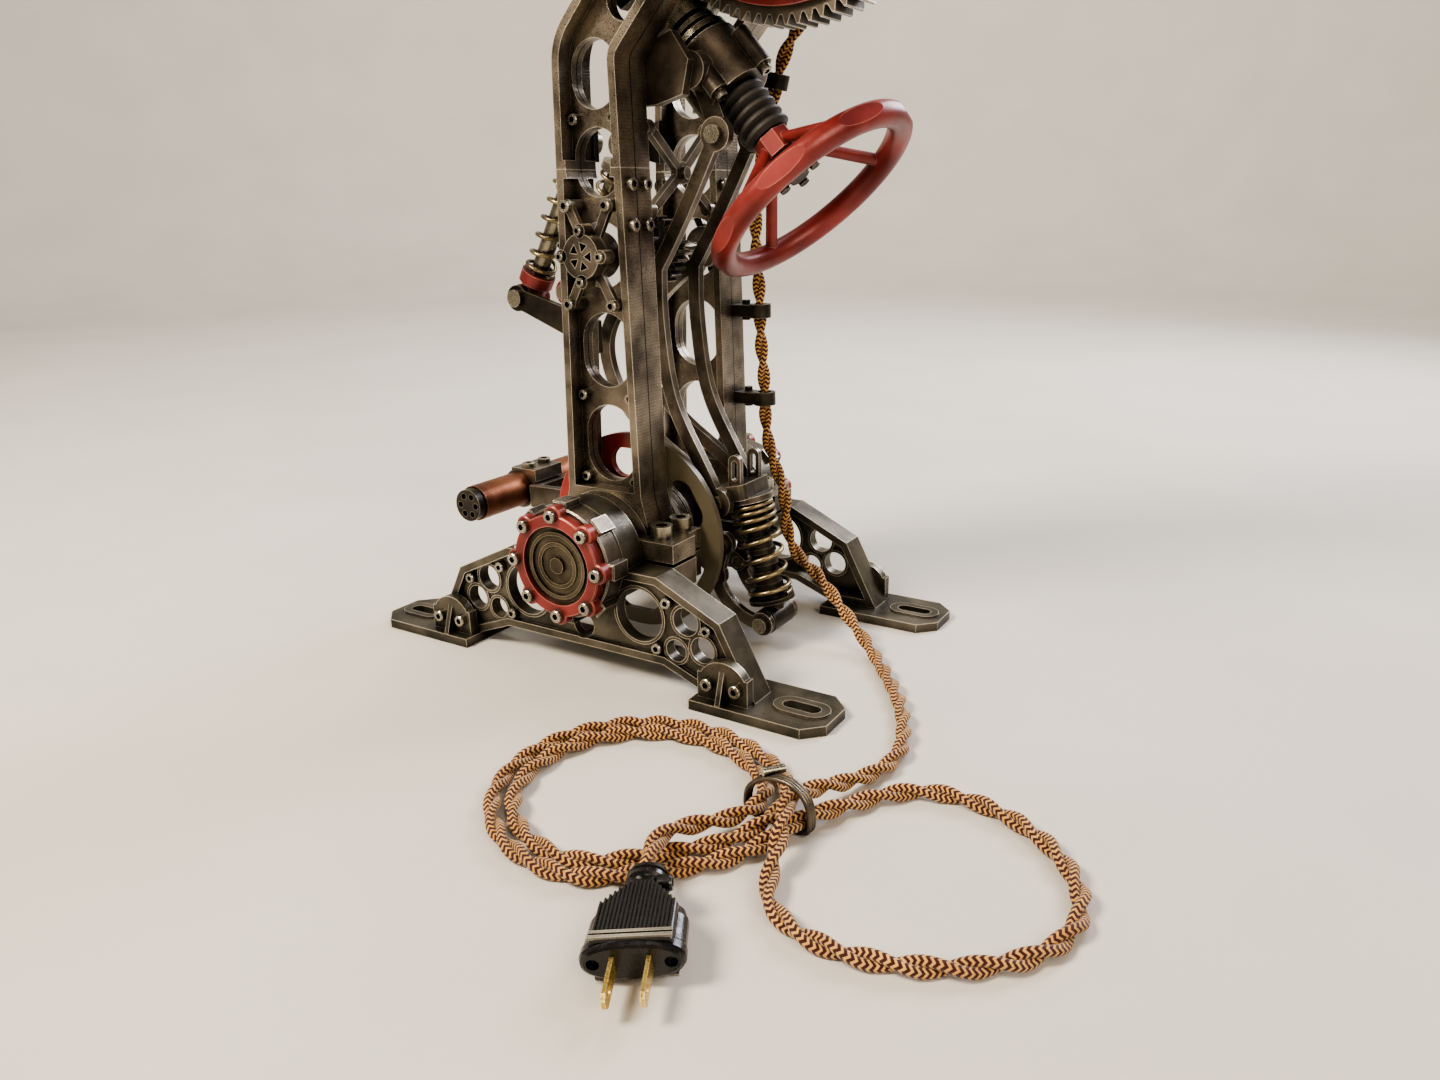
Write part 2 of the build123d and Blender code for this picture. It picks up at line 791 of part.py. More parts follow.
# Curved arms from the gearbox lugs down to the shock head
fork = (15.0, 217.0)
upper_stem = [top_pin, (42.0, 262.0), (27.0, 236.0), fork]
front_rib = [fork, (14.8, 194.0), (16.5, 174.0), (22.0, 145.0), (38.0, 113.0), head_pin]
rear_rib = [fork, (-8.0, 200.0), (-23.0, 176.0), (-17.6, 150.0), (8.0, 122.0), (36.0, 103.0), head_pin]
with BuildPart() as curved_arm:
    arm_plane = side_plane(curved_inner)
    for rib in (upper_stem, front_rib, rear_rib):
        extrude(ribbon_face(rib, arm_plane, curved_width), amount=curved_outer - curved_inner)
    extrude(discs([top_pin, head_pin], arm_plane, 8.5), amount=curved_outer - curved_inner)
    extrude(
        discs([top_pin, head_pin], arm_plane, pin_radius + fit),
        amount=curved_outer - curved_inner,
        mode=Mode.SUBTRACT,
    )
    mirror(about=Plane.XZ)
save(curved_arm.part, "curved_arms")

# Pins of the front linkage
with BuildPart() as linkage_pins:
    for spot, start, end in (
        (top_pin, 13.2, curved_outer),
        (head_pin, 0.0, curved_outer),
        (eye_pin, 0.0, curved_inner),
        (lever_pin, strap_inner, curved_inner),
        (link_pin, strap_inner, curved_inner),
    ):
        extrude(discs([spot], side_plane(start), pin_radius), amount=end - start)
        extrude(discs([spot], side_plane(end), pin_head_radius), amount=3.2)
    mirror(about=Plane.XZ)

# Shock: head casting, damper, spring
shock = Plane(
    origin=shock_origin,
    x_dir=(cos(radians(shock_lean)), 0, sin(radians(shock_lean))),
    z_dir=(-sin(radians(shock_lean)), 0, cos(radians(shock_lean))),
)
head_half_width = curved_inner - touch_gap
spring_top = coil_top + wire_radius + touch_gap
with BuildPart() as shock_head:
    extrude(discs([(0, 0)], shock.offset(spring_top), 13.5), amount=3.5)
    with BuildSketch(shock.offset(spring_top + 3)):
        with Locations((-4.5, 0)):
            RectangleRounded(22.0, 2 * head_half_width, 4.0)
    extrude(amount=9.0)
    for depth in (9.0, -12.0):
        lug_plane = side_plane(depth)
        extrude(bar_face((57.5, 98.0), (57.5, 111.0), lug_plane, 8.0), amount=3.0)
        extrude(bar_face((57.5, 102.0), (57.5, 110.0), lug_plane, 3.4), amount=3.0, mode=Mode.SUBTRACT)
    extrude(
        discs([head_pin], side_plane(-curved_inner), pin_radius + fit),
        amount=2 * curved_inner,
        mode=Mode.SUBTRACT,
    )
save(shock_head.part, "shock_head")

damper_radius = 8.6
seat_top = coil_bottom - wire_radius - touch_gap
with BuildPart() as damper_body:
    extrude(discs([(0, 0)], shock.offset(seat_top), damper_radius - 1), amount=spring_top - seat_top)
    for i in range(6):
        extrude(discs([(0, 0)], shock.offset(seat_top + 6 + 7 * i), damper_radius), amount=3.0)
    extrude(discs([(0, 0)], shock.offset(seat_top - 2.5), 13.5), amount=2.5)
    extrude(discs([(0, 0)], shock.offset(seat_top - 8), 6.0), amount=5.5)
    extrude(discs([eye_pin], side_plane(-11.5), 7.5), amount=23.0)
    extrude(discs([eye_pin], side_plane(-11.5), pin_radius + fit), amount=23.0, mode=Mode.SUBTRACT)
save(damper_body.part, "damper_body")


def coil_wire(plane, radius, stations, tail):
    points = []
    for turn, height in stations:
        angle = 2 * pi * turn
        points.append(plane.from_local_coords(Vector(radius * cos(angle), radius * sin(angle), height)))
    headings = []
    for i, (turn, height) in enumerate(stations):
        before = stations[max(i - 1, 0)]
        after = stations[min(i + 1, len(stations) - 1)]
        climb = (after[1] - before[1]) / (after[0] - before[0])
        angle = 2 * pi * turn
        local = Vector(-2 * pi * radius * sin(angle), 2 * pi * radius * cos(angle), climb)
        headings.append((plane.from_local_coords(local) - plane.origin).normalized())
    with BuildLine() as line:
        Line(points[0] - headings[0] * tail, points[0])
        for start, end, leave, arrive in zip(points, points[1:], headings, headings[1:]):
            chord = end - start
            both = leave + arrive
            a = both.dot(both) - 4
            b = -2 * chord.dot(both)
            c = chord.dot(chord)
            reach = (-b - sqrt(b * b - 4 * a * c)) / (2 * a)
            if reach < 0:
                reach = (-b + sqrt(b * b - 4 * a * c)) / (2 * a)
            first = start + leave * reach
            second = end - arrive * reach
            middle = (first + second) * 0.5
            TangentArc(start, middle, tangent=leave)
            TangentArc(middle, end, tangent=second - first)
        Line(points[-1], points[-1] + headings[-1] * tail)
    return line


def coil_stations(turns, heights):
    stations = []
    total = 4 * turns
    for i in range(total + 1):
        share = i / 4
        below = int(min(share, turns - 1e-9))
        part = share - below
        stations.append((share, heights[below] + part * (heights[below + 1] - heights[below])))
    return stations


shock_heights = [coil_bottom]
for rise in (4.0, 10.4, 10.4, 10.4, 7.4, 4.4, 4.2, 3.4):
    shock_heights.append(shock_heights[-1] + rise)
shock_line = coil_wire(shock, coil_radius, coil_stations(8, shock_heights), 2 * wire_radius)
with BuildPart() as shock_spring:
    with BuildSketch(Plane(origin=shock_line.line @ 0, z_dir=shock_line.line % 0)):
        Circle(wire_radius)
    sweep(path=shock_line.line)
save(shock_spring.part, "shock_spring")

# Straps from the trunnion to the levers, and the bent levers down to the lower eye
with BuildPart() as torque_straps:
    strap_plane = side_plane(strap_inner)
    thickness = strap_outer - strap_inner
    extrude(discs([(0, trunnion_z)], strap_plane, 27.0), amount=thickness)
    for spot in (lever_pin, link_pin):
        extrude(bar_face((14.0, trunnion_z - 4), spot, strap_plane, 2 * strap_boss_radius), amount=thickness)
        extrude(discs([spot], strap_plane, strap_boss_radius), amount=thickness)
    strap_bore = discs([(0, trunnion_z)], strap_plane, trunnion_radius + fit)
    extrude(strap_bore, amount=thickness, mode=Mode.SUBTRACT)
    extrude(discs([lever_pin, link_pin], strap_plane, pin_radius + fit), amount=thickness, mode=Mode.SUBTRACT)
    mirror(about=Plane.XZ)
save(torque_straps.part, "torque_straps")

with BuildPart() as shock_levers:
    lever_plane = side_plane(strap_outer + touch_gap)
    lever_thickness = curved_inner - strap_outer - touch_gap
    extrude(bar_face(lever_pin, link_pin, lever_plane, 9.0), amount=lever_thickness)
    extrude(
        ribbon_face([link_pin, (52.0, 30.0), (63.0, 21.0), eye_pin], lever_plane, 8.0),
        amount=lever_thickness,
    )
    extrude(discs([lever_pin, link_pin, eye_pin], lever_plane, 7.0), amount=lever_thickness)
    extrude(
        discs([lever_pin, link_pin, eye_pin], lever_plane, pin_radius + fit),
        amount=lever_thickness,
        mode=Mode.SUBTRACT,
    )
    mirror(about=Plane.XZ)
save(shock_levers.part, "shock_levers")

# Rear bracket and the two canisters
with BuildPart() as rear_bracket:
    side_start = canister_start
    side_thickness = 5.0
    extrude(discs([(0, trunnion_z)], side_plane(side_start), 27.0), amount=side_thickness)
    with BuildSketch(side_plane(side_start)):
        with BuildLine():
            Polyline((-15, 82), (-94 + 2, 80), (-94 + 2, 66), (-15, 55), close=True)
        make_face()
    extrude(amount=side_thickness)
    with BuildSketch(side_plane(side_start)):
        with Locations((-42, 72.5), (-62, 72.8)):
            Circle(4.6)
    extrude(amount=side_thickness, mode=Mode.SUBTRACT)
    extrude(
        discs([(0, trunnion_z)], side_plane(side_start), trunnion_radius + fit),
        amount=side_thickness,
        mode=Mode.SUBTRACT,
    )
    mirror(about=Plane.XZ)
    with BuildSketch(side_plane(-side_start - side_thickness)):
        with Locations((-89, 73)):
            Rectangle(6, 14)
    extrude(amount=2 * (side_start + side_thickness))
    with BuildSketch(side_plane(-canister_start)):
        with Locations((canister_x, canister_z)):
            Circle(13.0)
        with Locations(((canister_x - 86) / 2, 73)):
            Rectangle(-canister_x - 86, 14)
        with Locations((canister_x + 4, canister_z + 9.5)):
            Rectangle(20, 8)
    extrude(amount=2 * canister_start)
save(rear_bracket.part, "rear_bracket")

with BuildPart() as canister_tubes:
    with BuildSketch(side_plane(canister_start)):
        with Locations((canister_x, canister_z)):
            Circle(canister_radius)
            Circle(canister_radius - 2, mode=Mode.SUBTRACT)
    extrude(amount=canister_end - canister_start)
    mirror(about=Plane.XZ)
save(canister_tubes.part, "canister_tubes")

with BuildPart() as canister_caps:
    extrude(
        discs([(canister_x, canister_z)], side_plane(canister_end - 6), canister_radius - 2 - fit),
        amount=6,
    )
    extrude(
        discs([(canister_x, canister_z)], side_plane(canister_end), canister_cap_radius),
        amount=canister_cap_depth,
    )
    with BuildSketch(side_plane(canister_end + canister_cap_depth)):
        with Locations((canister_x, canister_z)):
            with Locations(*ring_points(6, 6.2)):
                Circle(1.9)
    extrude(amount=-4.0, mode=Mode.SUBTRACT)
    mirror(about=Plane.XZ)
save(canister_caps.part, "canister_caps")

with BuildPart() as hex_bolts:
    add(flange_bolts.part)
    bolt_spots = [(canister_x + 4, 7.5), (canister_x + 4, -7.5)]
    extrude(discs(bolt_spots, Plane.XY.offset(canister_z + 13.5), 4.2), amount=3.0)
save(hex_bolts.part, "hex_bolts")

# Index disc on the trunnion, with four windows
with BuildPart() as index_disc:
    index_plane = side_plane(index_face)
    extrude(discs([(0, trunnion_z)], index_plane, index_radius), amount=index_thickness)
    for i in range(6):
        angle = 60 * i + 30
        centre = (41 * cos(radians(angle)), trunnion_z + 41 * sin(radians(angle)))
        with BuildSketch(index_plane):
            with Locations(Location((centre[0], centre[1], 0), angle + 90)):
                SlotOverall(30.0, 17.0)
        extrude(amount=index_thickness, mode=Mode.SUBTRACT)
    extrude(discs([(0, trunnion_z)], side_plane(index_face - 2), 26.0), amount=index_thickness + 2)
    extrude(
        discs([(0, trunnion_z)], side_plane(index_face - 2), trunnion_radius + fit),
        amount=index_thickness + 2,
        mode=Mode.SUBTRACT,
    )
save(index_disc.part, "index_disc")

# Rear coil-overs: cup, damper, spring and arm on each side
rear_direction = Vector(rear_high[0] - rear_low[0], 0, rear_high[1] - rear_low[1])
rear_length = rear_direction.length
rear_plane = Plane(
    origin=(rear_low[0], -rear_depth, rear_low[1]),
    x_dir=(rear_direction.Z, 0, -rear_direction.X),
    z_dir=rear_direction,
)
cup_top = 16.0
rear_spring_start = cup_top + rear_wire_radius + touch_gap
rear_spring_end = rear_length - 17.0 - rear_wire_radius - touch_gap
with BuildPart() as rear_cups:
    extrude(discs([(0, 0)], rear_plane.offset(2), 7.6), amount=cup_top - 2)
    extrude(discs([(0, 0)], rear_plane.offset(9), 10.0), amount=cup_top - 9)
    extrude(discs([rear_low], side_plane(rear_depth - 8), 8.0), amount=16.0)
    extrude(discs([rear_low], side_plane(rear_depth - 8), pin_radius + fit), amount=16.0, mode=Mode.SUBTRACT)
    mirror(about=Plane.XZ)
save(rear_cups.part, "rear_cups")

with BuildPart() as rear_dampers:
    extrude(discs([(0, 0)], rear_plane.offset(cup_top), 5.0), amount=rear_length - cup_top - 5)
    extrude(discs([(0, 0)], rear_plane.offset(rear_length - 17), 10.0), amount=5.0)
    extrude(discs([rear_high], side_plane(rear_depth - 8), 7.5), amount=16.0)
    extrude(discs([rear_high], side_plane(rear_depth - 8), pin_radius + fit), amount=16.0, mode=Mode.SUBTRACT)
    mirror(about=Plane.XZ)
save(rear_dampers.part, "rear_dampers")

rear_turns = 7
rear_heights = [rear_spring_start]
for i in range(rear_turns):
    open_pitch = (rear_spring_end - rear_spring_start - 2 * 3.0) / (rear_turns - 2)
    rear_heights.append(rear_heights[-1] + (3.0 if i in (0, rear_turns - 1) else open_pitch))
rear_stations = coil_stations(rear_turns, rear_heights)
rear_line = coil_wire(rear_plane, rear_spring_radius, rear_stations, 2 * rear_wire_radius)
with BuildPart() as rear_springs:
    with BuildSketch(Plane(origin=rear_line.line @ 0, z_dir=rear_line.line % 0)):
        Circle(rear_wire_radius)
    sweep(path=rear_line.line)
    mirror(about=Plane.XZ)
save(rear_springs.part, "rear_springs")

with BuildPart() as rear_arms:
    arm_start = rear_depth + 8 + touch_gap
    reach = inner_face - arm_start
    arm_points = [
        (-19.0, 188.0),
        (rear_low[0], rear_low[1] + 6),
        (rear_low[0], rear_low[1] - 6),
        (-19.0, 170.0),
    ]
    extrude(panel(arm_points, side_plane(arm_start)), amount=reach)
    extrude(discs([rear_low], side_plane(arm_start), 7.5), amount=reach)
    lug_points = [
        (-15.0, 296.0),
        (rear_high[0], rear_high[1] + 6.5),
        (rear_high[0], rear_high[1] - 6.5),
        (-15.0, 272.0),
    ]
    extrude(panel(lug_points, side_plane(arm_start)), amount=reach)
    extrude(discs([rear_high], side_plane(arm_start), 7.0), amount=reach)
    extrude(
        discs([rear_low, rear_high], side_plane(arm_start), pin_radius + fit),
        amount=reach,
        mode=Mode.SUBTRACT,
    )
    mirror(about=Plane.XZ)
save(rear_arms.part, "rear_arms")

with BuildPart() as pivot_pins:
    add(linkage_pins.part)
    for spot in (rear_low, rear_high):
        pin_length = arm_start + reach - rear_depth + 8
        extrude(discs([spot], side_plane(rear_depth - 8), pin_radius), amount=pin_length)
        extrude(discs([spot], side_plane(rear_depth - 8), 5.0), amount=-3.0)
    extrude(discs([rear_low], side_plane(arm_start + reach), 5.0), amount=3.0)
    mirror(about=Plane.XZ)
save(pivot_pins.part, "pivot_pins")

# Shaft frame: x away from the column, z up the shaft
shaft = Plane(
    origin=wheel_centre,
    x_dir=(cos(radians(shaft_lean)), 0, sin(radians(shaft_lean))),
    z_dir=(-sin(radians(shaft_lean)), 0, cos(radians(shaft_lean))),
)
shaft_axis = Axis(origin=wheel_centre, direction=shaft.z_dir)
shaft_section = Plane(origin=wheel_centre, x_dir=shaft.x_dir, z_dir=(0, -1, 0))

# Handwheel: faceted ring, four dished spokes and an eight-sided hub
with BuildPart() as handwheel:
    with BuildSketch(shaft_section):
        with Locations((rim_radius, 0)):
            Circle(rim_tube)
    revolve(axis=shaft_axis)
    with BuildSketch(shaft.offset(-rim_tube - 1)):
        Circle(rim_radius + 2 * rim_tube)
        RegularPolygon(rim_flat, 8, major_radius=False, mode=Mode.SUBTRACT)
    extrude(amount=2 * rim_tube + 2, mode=Mode.SUBTRACT)
    hub_point = (7.0, (hub_start + hub_end) / 2)
    for i in range(spoke_count):
        angle = radians(spoke_turn + 360 * i / spoke_count)
        outer_end = shaft.from_local_coords(Vector(rim_radius * cos(angle), rim_radius * sin(angle), 0))
        inner_end = shaft.from_local_coords(
            Vector(hub_point[0] * cos(angle), hub_point[0] * sin(angle), hub_point[1])
        )
        run = inner_end - outer_end
        with BuildSketch(Plane(origin=outer_end, z_dir=run)):
            Circle(spoke_radius)
        extrude(amount=run.length, taper=spoke_taper)
    with BuildSketch(shaft.offset(hub_start)):
        RegularPolygon(hub_radius, 8)
    extrude(amount=hub_end - hub_start)
    with BuildSketch(shaft.offset(hub_start)):
        Circle(shaft_radius)
    extrude(amount=hub_end - hub_start, mode=Mode.SUBTRACT)
save(handwheel.part, "handwheel")

# Lobed plate and cap screws on the hub's face
hub_screws = ring_points(4, 9.5, spoke_turn + 45)
with BuildPart() as hub_plate:
    with BuildSketch(shaft.offset(plate_start)):
        Circle(9.0)
        with Locations(*hub_screws):
            Circle(4.2)
    extrude(amount=plate_thickness)
    collar_start = plate_start + plate_thickness
    extrude(discs([(0, 0)], shaft.offset(collar_start), 7.4), amount=hub_start - collar_start)
    extrude(discs([(0, 0)], shaft.offset(plate_start), shaft_radius), amount=hub_start, mode=Mode.SUBTRACT)
    extrude(discs(hub_screws, shaft.offset(plate_start), 2.8), amount=-3.6)
    extrude(discs([(0, 0)], shaft.offset(plate_start), 5.6), amount=-3.0)
save(hub_plate.part, "hub_plate")

# Worm shaft with stepped collars, thread and end nut
with BuildPart() as worm_shaft:
    extrude(discs([(0, 0)], shaft.offset(plate_start), shaft_radius), amount=shaft_end - plate_start)
    for start, radius, length in (
        (disc_start, disc_radius, 3.0),
        (disc_start + 3, 11.0, 3.0),
        (disc_start + 6, 14.5, 2.5),
        (disc_start + 8.5, 9.0, worm_centre - worm_turns * lead / 2 - 2 - disc_start - 8.5),
    ):
        extrude(discs([(0, 0)], shaft.offset(start), radius), amount=length)
    worm_start = worm_centre - worm_turns * lead / 2
    extrude(
        discs([(0, 0)], shaft.offset(worm_start - 2), worm_root_radius),
        amount=worm_turns * lead + 3.4,
    )
    extrude(discs([(0, 0)], shaft.offset(bearing_end + body_gap), 8.0), amount=3.0)
    thread_frame = shaft.offset(worm_start)
    thread_line = Helix(
        pitch=lead,
        height=worm_turns * lead,
        radius=worm_root_radius,
        center=thread_frame.origin,
        direction=thread_frame.z_dir,
    )
    half_thread = lead / 4 - mesh_play / 4
    slope = tan(radians(20))
    root_half = half_thread + (worm_pitch_radius - worm_root_radius + 0.4) * slope
    tip_half = half_thread - (worm_tip_radius - worm_pitch_radius) * slope
    start_point = thread_line @ 0
    outward = (start_point - thread_frame.origin).normalized()
    tooth_plane = Plane(origin=start_point, x_dir=outward, z_dir=thread_line % 0)
    with BuildSketch(tooth_plane):
        with BuildLine():
            Polyline(
                (-0.4, -root_half),
                (worm_tip_radius - worm_root_radius, -tip_half),
                (worm_tip_radius - worm_root_radius, tip_half),
                (-0.4, root_half),
                close=True,
            )
        make_face()
    sweep(path=thread_line, is_frenet=True)
save(worm_shaft.part, "worm_shaft")

# Bellows round the shaft below the gearbox
with BuildPart() as bellows:
    fold = (bellows_end - hub_end - 1.0) / bellows_folds
    start = hub_end + 1.0
    profile = [(bellows_inner, start)]
    for i in range(bellows_folds):
        low = start + i * fold
        profile.append((bellows_root, low))
        profile.append((bellows_crest, low + 0.38 * fold))
        profile.append((bellows_crest, low + 0.62 * fold))
    profile += [(bellows_root, bellows_end), (bellows_inner, bellows_end)]
    with BuildSketch(shaft_section):
        with BuildLine():
            Polyline(*profile, close=True)
        make_face()
    revolve(axis=shaft_axis)
save(bellows.part, "bellows")

# Gearbox housing with wings to the castings and lugs for the curved arms
wing_start = 26.0
wing_points = [(10.0, 298.0), (10.0, 323.0), (36.0, 332.0), (46.0, 318.0), (42.0, 302.0), (26.0, 298.0)]
lug_start = 13.2
lug_end = curved_inner - touch_gap
gearbox_axis_point = shaft.from_local_coords(Vector(0, 0, bellows_end + 14))
with BuildPart() as gearbox_housing:
    extrude(discs([(0, 0)], shaft.offset(bellows_end), gearbox_radius), amount=gearbox_length)
    boss_spots = ring_points(4, gearbox_screw_circle, 0)
    extrude(discs(boss_spots, shaft.offset(bellows_end), 5.2), amount=gearbox_length - 8)
    with BuildSketch(side_plane(-wing_start - 1)):
        with Locations((gearbox_axis_point.X - 4, gearbox_axis_point.Z)):
            Circle(9.0)
    extrude(amount=2 * wing_start + 2)
    for depth in (wing_start, -inner_face):
        extrude(panel(wing_points, side_plane(depth)), amount=inner_face - wing_start)
    for depth in (lug_start, -lug_end):
        extrude(
            bar_face(top_pin, (gearbox_axis_point.X - 4, gearbox_axis_point.Z - 4), side_plane(depth), 11.0),
            amount=lug_end - lug_start,
        )
    extrude(discs([top_pin], side_plane(-lug_end), pin_radius + fit), amount=2 * lug_end, mode=Mode.SUBTRACT)
    extrude(
        discs([(0, 0)], shaft.offset(bellows_end - 30), shaft_radius + running_fit),
        amount=gearbox_length + 60,
        mode=Mode.SUBTRACT,
    )
save(gearbox_housing.part, "gearbox_housing")

with BuildPart() as gearbox_screws:
    extrude(discs(boss_spots, shaft.offset(bellows_end), 3.2), amount=-3.6)
    wing_screw = (26.5, 305.0)
    extrude(discs([wing_screw], side_plane(wing_start), 3.6), amount=-2.6)
    extrude(discs([wing_screw], side_plane(-wing_start), 3.6), amount=2.6)
save(gearbox_screws.part, "gearbox_screws")

# Upper bearing of the worm shaft on two cheeks against the castings
with BuildPart() as worm_bearing:
    with BuildSketch(shaft.offset(bearing_start)):
        RectangleRounded(24.0, 2 * wing_start + 2, 5.0)
    extrude(amount=bearing_depth)
    for depth in (wing_start, -inner_face):
        cheek = [
            shaft.from_local_coords(Vector(x, 0, t))
            for x, t in ((-11.0, 128.0), (11.0, 122.0), (12.0, bearing_end), (-12.0, bearing_end))
        ]
        extrude(panel([(p.X, p.Z) for p in cheek], side_plane(depth)), amount=inner_face - wing_start)
    extrude(
        discs([(0, 0)], shaft.offset(bearing_start - 40), shaft_radius + running_fit),
        amount=80,
        mode=Mode.SUBTRACT,
    )
save(worm_bearing.part, "worm_bearing")

# Worm wheel: a gap between two teeth faces the worm at rest
mesh_direction = (-cos(radians(shaft_lean)), -sin(radians(shaft_lean)))
mesh_angle = degrees(atan2(mesh_direction[1], mesh_direction[0]))
wheel_plane = Plane(origin=(pivot_x, wheel_half_width, pivot_z), x_dir=(1, 0, 0), z_dir=(0, -1, 0))
with BuildPart() as worm_wheel:
    extrude(
        gear_face(
            wheel_teeth,
            gear_module,
            wheel_tip_radius,
            wheel_root_radius,
            wheel_plane,
            mesh_play / 2,
            mesh_angle + 180 / wheel_teeth,
        ),
        amount=2 * wheel_half_width,
    )
    for side_offset in (-0.01, 2 * wheel_half_width - 6.0):
        with BuildSketch(wheel_plane.offset(side_offset)):
            Circle(76.0)
            Circle(24.0, mode=Mode.SUBTRACT)
        extrude(amount=6.01, mode=Mode.SUBTRACT)
    with BuildSketch(wheel_plane):
        with Locations(*ring_points(6, 50.0, 10)):
            Circle(15.0)
    extrude(amount=2 * wheel_half_width, mode=Mode.SUBTRACT)
    with BuildSketch(side_plane(-arm_inner)):
        with Locations(pivot):
            Circle(wheel_hub_radius)
    extrude(amount=2 * arm_inner)
    axle_hole = discs([pivot], side_plane(-arm_inner), pivot_bore_radius - fit)
    extrude(axle_hole, amount=2 * arm_inner, mode=Mode.SUBTRACT)
save(worm_wheel.part, "worm_wheel")

with BuildPart() as wheel_covers:
    for depth in (wheel_half_width, -wheel_half_width - cover_thickness):
        with BuildSketch(side_plane(depth)):
            with Locations(pivot):
                Circle(cover_radius)
                Circle(wheel_hub_radius + fit, mode=Mode.SUBTRACT)
                with Locations(*ring_points(6, 50.0, 10)):
                    Circle(17.0, mode=Mode.SUBTRACT)
        extrude(amount=cover_thickness)
save(wheel_covers.part, "wheel_covers")

with BuildPart() as wheel_axle:
    extrude(discs([pivot], side_plane(-axle_end), pivot_bore_radius - fit), amount=2 * axle_end)
    cap_start = seam + outer_depth + body_gap
    extrude(discs([pivot], side_plane(cap_start), 14.0), amount=axle_end - cap_start + 2)
    extrude(discs([pivot], side_plane(-cap_start), 14.0), amount=-(axle_end - cap_start + 2))
save(wheel_axle.part, "wheel_axle")

# Swing arm plates with round lightening holes and two cross rods
head_joint = in_lean(pivot, arm_angle, arm_length, 0)
with BuildPart() as arm_plate:
    arm_plane = side_plane(arm_inner)
    with BuildSketch(arm_plane):
        edge_angle = degrees(acos((arm_end_radius - arm_head_radius) / arm_length))
        with BuildLine():
            corners = []
            for centre, radius in ((pivot, arm_end_radius), (head_joint, arm_head_radius)):
                for sign in (1, -1):
                    angle = radians(arm_angle + sign * edge_angle)
                    corners.append((centre[0] + radius * cos(angle), centre[1] + radius * sin(angle)))
            Polyline(corners[0], corners[2], corners[3], corners[1], close=True)
        make_face()
        with Locations(pivot):
            Circle(arm_end_radius)
        with Locations(head_joint):
            Circle(arm_head_radius)
        with Locations(*[in_lean(pivot, arm_angle, along, 0) for along in (44, 78, 112, 146, 180)]):
            Circle(10.5, mode=Mode.SUBTRACT)
        with Locations(pivot):
            Circle(pivot_bore_radius, mode=Mode.SUBTRACT)
        with Locations(head_joint):
            Circle(head_pin_radius + fit, mode=Mode.SUBTRACT)
    extrude(amount=arm_thickness)
    mirror(about=Plane.XZ)
save(arm_plate.part, "arm_plates")

with BuildPart() as arm_spacers:
    rod_spots = [in_lean(pivot, arm_angle, along, 0) for along in (129, 163)]
    extrude(discs(rod_spots, side_plane(-arm_inner), 4.5), amount=2 * arm_inner)
    pin_start = arm_inner + arm_thickness
    extrude(discs([head_joint], side_plane(-pin_start), head_pin_radius), amount=2 * pin_start)
    extrude(discs([head_joint], side_plane(arm_inner + arm_thickness), 9.0), amount=4.0)
    extrude(discs([head_joint], side_plane(-arm_inner - arm_thickness), 9.0), amount=-4.0)
    washer_start = arm_inner + arm_thickness
    for depth, sign in ((washer_start, 1), (-washer_start, -1)):
        with BuildSketch(side_plane(depth)):
            with Locations(pivot):
                Circle(15.0)
                Circle(pivot_bore_radius, mode=Mode.SUBTRACT)
        extrude(amount=sign * (inner_face - washer_start - body_gap))
save(arm_spacers.part, "arm_spacers")

# Lamp head hanging from the head pin
head_x = head_joint[0]
head_z = head_joint[1]
socket_top = head_z - socket_top_drop
shade_top = socket_top - socket_length + 6
shade_bottom = shade_top - shade_depth
with BuildPart() as head_yoke:
    with BuildSketch(side_plane(-head_half)):
        with Locations(head_joint):
            Circle(12.0)
        with Locations((head_x, head_z - 10)):
            Rectangle(20, 12)
    extrude(amount=2 * head_half)
    extrude(
        discs([head_joint], side_plane(-head_half), head_pin_radius + running_fit),
        amount=2 * head_half,
        mode=Mode.SUBTRACT,
    )
save(head_yoke.part, "head_yoke")

with BuildPart() as lamp_socket:
    with BuildSketch(Plane.XY.offset(socket_top - socket_length)):
        with Locations((head_x, 0)):
            Circle(socket_radius)
    extrude(amount=socket_length)
    for i in range(3):
        with BuildSketch(Plane.XY.offset(socket_top - 6 - 5 * i)):
            with Locations((head_x, 0)):
                Circle(socket_radius + 1.5)
        extrude(amount=2.4)
    switch_z = socket_top - 21.5
    with BuildSketch(side_plane(0)):
        with Locations((head_x, switch_z)):
            Circle(5.0)
    extrude(amount=socket_radius + 4)
    with BuildSketch(side_plane(socket_radius + 4)):
        with Locations((head_x, switch_z)):
            Circle(1.5 + running_fit)
    extrude(amount=-8.0, mode=Mode.SUBTRACT)
save(lamp_socket.part, "lamp_socket")

